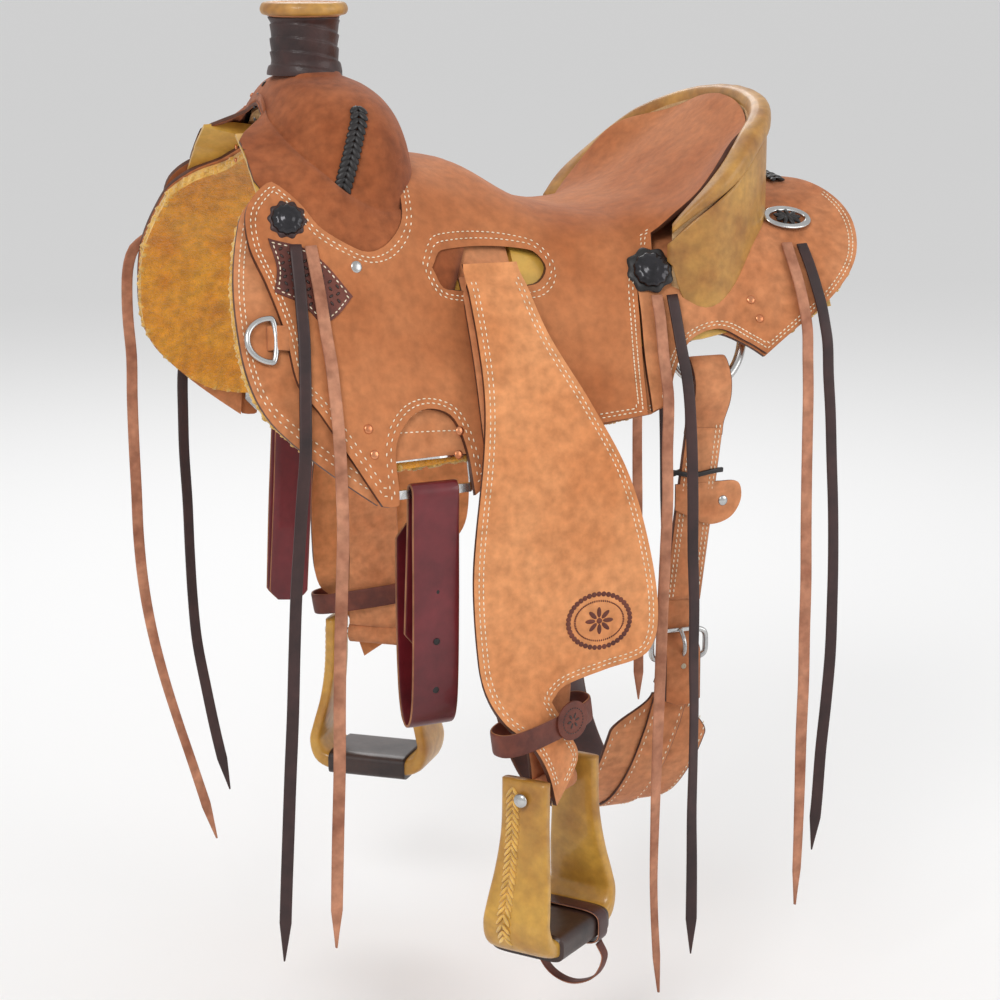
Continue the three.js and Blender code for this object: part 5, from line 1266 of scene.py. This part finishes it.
def foldedLine(bar, foot, gap, rise, meet, tilt, ply):
    x, y, z = bar
    lean, slope = (foot[0] - x) / (foot[2] - z), (foot[1] - y) / (foot[2] - z)

    def at(dy, dz):
        return (x + lean * min(dz, 0), y + dy + (tilt if dz > 0 else slope) * dz, z + dz)
    return [at(-ply / 2, -meet - 12), at(-ply / 2, -meet), at(-gap, -meet * 0.35), at(-gap, rise * 0.25),
            at(-gap * 0.62, rise * 0.82), at(0, rise), at(gap * 0.62, rise * 0.82), at(gap, rise * 0.25),
            at(gap, -meet * 0.35), at(ply / 2, -meet), at(ply / 2, -meet - 12)], at


for name, side in sides.items():
    top = (160, side * 179, -129)
    x, y = flank[name], side * flank["y"]
    doubled = (x + 2, y + side, flank["z"] + 50)
    line, at = foldedLine(top, doubled, 10.5, 27, 40, -side * 0.36, 3.5)
    bm = sweep(line, 42, 3.5, 90, edge=True, sides=18)
    newPiece("billet_fold_" + name, bm, "flank", [cinchHide, cutEdge], ["flank_billet_" + name])
    bm = sweep([at(0, -44), at(0, -52), doubled], 42, 7.4, 30, edge=True, sides=18)
    newPiece("billet_plies_" + name, bm, "flank", [cinchHide, cutEdge])
    steps = [(-4, 30), (-5.6, 18), (-3, 9), (4, 3), (10.4, -4), (11.4, -16), (11.6, -30), (12, -62)]
    bm = sweep([doubled] + [(x, y + side * d, flank["z"] + z) for d, z in steps], lambda t: 40 * min(1, 0.4 + (1 - t) * 14),
               3.5, 70, edge=True, sides=18)
    newPiece("billet_tail_" + name, bm, "flank", [cinchHide, cutEdge])
    bm = bmesh.new()
    lower = Vector(doubled)
    upper = Vector(at(0, -44))
    for edgeX in (-16.5, 16.5, -12.2, 12.2):
        count = 34
        for i in range(count):
            here = upper.lerp(lower, i / count) + Vector((edgeX, side * 3.9, 0))
            bead(bm, Matrix.Translation(here) @ Matrix.Rotation(side * math.radians(-90), 4, "X") @ Matrix.Rotation(math.pi / 2, 4, "Z"),
                 (4.2, 1.5, 1.3))
    for i in range(4):
        bead(bm, Matrix.Translation((x, y + side * 13.6, flank["z"] - 20 - i * 0)) @ Matrix.Rotation(math.pi / 2, 4, "X"), (6, 6, 1), 0, 2)
    newPiece("billet_stitching_" + name, bm, "flank", [thread])
    points = []
    for i in range(44):
        turn = 2 * math.pi * i / 44
        c, s = math.cos(turn), math.sin(turn)
        points.append(Vector((x + 31 * math.copysign(abs(c) ** 0.45, c), y, flank["z"] + 16 * math.copysign(abs(s) ** 0.45, s))))
    ringAt(points, 3, "cinch_buckle_" + name, "flank", ["flank_buckle_" + name])
    bm = sweep([(x, y + side * 3, flank["z"] - 15), (x, y + side * 15, flank["z"] - 4), (x, y + side * 14, flank["z"] + 8),
                (x, y + side * 3.4, flank["z"] + 18)], 4.4, 4.4, 24, round=True)
    newPiece("buckle_tongue_" + name, bm, "flank", [brightSteel])
    # half-round keeper with its snap and a black tie above it
    keeperAt = Vector(at(0, -118))
    keeperPath = outlineThrough([(-24, 15, 1), (24, 15, 1), (48, 12), (52, -6), (40, -24), (16, -30), (-4, -22), (-24, -12, 1)], 4)
    onKeeper = lambda a, b, out=0.0: Vector((keeperAt.x + a, keeperAt.y + side * (5.4 + out - 0.0012 * a * a), keeperAt.z + b))
    cutPanel("billet_keeper_" + name, keeperPath, onKeeper, 2.6, "flank", cinchHide, (), 6)
    bm = bmesh.new()
    surfaceBead(bm, onKeeper, 30, -6, (11, 11, 4), 0.2, 0, 3)
    newPiece("keeper_snap_" + name, bm, "flank", [brightSteel])
    bm = sweep([(keeperAt.x + 30 * math.cos(k * 0.9), keeperAt.y + side * 7 * math.sin(k * 0.9) + side, keeperAt.z + 26 + 2 * math.sin(k * 2.7))
                for k in range(8)], 5, 3.4, 60, lambda t: (0, 0, 1), sides=10)
    newPiece("billet_tie_" + name, bm, "flank", [blackLace])

cinchLine = [(132, -154, -462), (126, -144, -500), (118, -122, -550), (112, -84, -594), (108, -40, -616), (106, 0, -620),
             (104, 40, -616), (101, 84, -594), (98, 122, -550), (98, 144, -500), (99, 154, -462)]
cinchWide = lambda t: mix(42, 116, smoothStep(min(t, 1 - t), 0, 0.1))
bm = sweep(cinchLine, cinchWide, 5, 180, edge=True, sides=22, inner=-1)
newPiece("cinch_body", bm, "flank", [cinchHide, cutEdge, darkHide], ["flank_cinch"])


def onCinch(shift, out):
    rows = along(cinchLine, 61)
    places = []
    for i, p in enumerate(rows):
        a, b = Vector(rows[max(i - 1, 0)]), Vector(rows[min(i + 1, 60)])
        normal = Vector((1, 0, 0)).cross(b - a).normalized()
        if normal.dot(Vector((0, p[1], p[2] + 480))) < 0:
            normal = -normal
        places.append((Vector(p) + Vector((shift(i / 60), 0, 0)) + normal * out, normal, (b - a).normalized()))
    return places


strapRoute = [p[0] for p in onCinch(lambda t: 0, 4.2)]
bm = sweep(strapRoute, 40, 3.4, 150, edge=True, sides=18)
newPiece("cinch_overlay", bm, "flank", [cinchHide, cutEdge])
bm = bmesh.new()
for shift, out in ((lambda t: cinchWide(t) / 2 - 5, 2.6), (lambda t: -cinchWide(t) / 2 + 5, 2.6), (lambda t: 15.5, 6), (lambda t: -15.5, 6)):
    places = onCinch(shift, out)
    for (here, normal, ahead), (there, _, _) in zip(places, places[1:]):
        span = (there - here).length
        for k in range(max(1, int(span / 6))):
            spot = here.lerp(there, k * 6 / span)
            bead(bm, Matrix.Translation(spot) @ Matrix((ahead, normal.cross(ahead), normal)).transposed().to_4x4(), (4.2, 1.5, 1.3))
newPiece("cinch_stitching", bm, "flank", [thread])
for name, side in sides.items():
    x, y = flank[name], side * flank["y"]
    end = cinchLine[0] if side < 0 else cinchLine[-1]
    line, _ = foldedLine((x, y, flank["z"] - 16), end, 6, 6, 16, 0, 3.5)
    bm = sweep(line, 42, 3.5, 60, edge=True, sides=18)
    newPiece("cinch_end_" + name, bm, "flank", [cinchHide, cutEdge])
print("flank rigging made")

# strap round the near tread, buckled under it
near = stirrupPlace("near")
across = near(0, 1, 0) - near(0, 0, 0)
upright = Vector((0, 0, 1))
along_ = near(1, 0, 0) - near(0, 0, 0)
ringPoints = []
for i in range(36):
    turn = 2 * math.pi * i / 36
    c, s = math.cos(turn), math.sin(turn)
    ringPoints.append(near(30, math.copysign(abs(c) ** 0.4, c) * 44, 11 + math.copysign(abs(s) ** 0.5, s) * (17 if s > 0 else 19)))
bm = sweep(ringPoints, 18, 2.4, 100, lambda t: along_, closed=True, edge=True, sides=16)
newPiece("tread_band", bm, "stirrup_near", [darkHide, laceHide], ["tread_strap_near"])
bm = sweep([near(30, -26, -10), near(30, -30, -28), near(31, -16, -50), near(33, 8, -58), near(36, 32, -48),
            near(38, 42, -26), near(36, 36, -10)], 12, 2.2, 60,
           lambda t: along_, edge=True)
newPiece("tread_band_tail", bm, "stirrup_near", [stampHide, laceHide])
buckle = [near(30 + 9 * math.cos(k * math.pi / 12), -30 + 2 * math.sin(k * math.pi / 12), -12 + 8 * math.sin(k * math.pi / 12)) for k in range(24)]
ringAt(buckle, 1.6, "tread_buckle", "stirrup_near", [])
print("tread strap made")

# the tree and the plates inside keep their solids, in wood, steel and leather
kept = {"tree_fork": pineWood, "tree_cantle": pineWood, "tree_bar_near": treeHide, "tree_bar_off": treeHide,
        "ground_seat": brightSteel, "rigging_plate_near": brightSteel, "rigging_plate_off": brightSteel,
        "leather_loop_near": cinchHide, "leather_loop_off": cinchHide}
for node, finish in kept.items():
    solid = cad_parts[node]
    solid.data.materials.clear()
    solid.data.materials.append(finish)
print("tree finished")
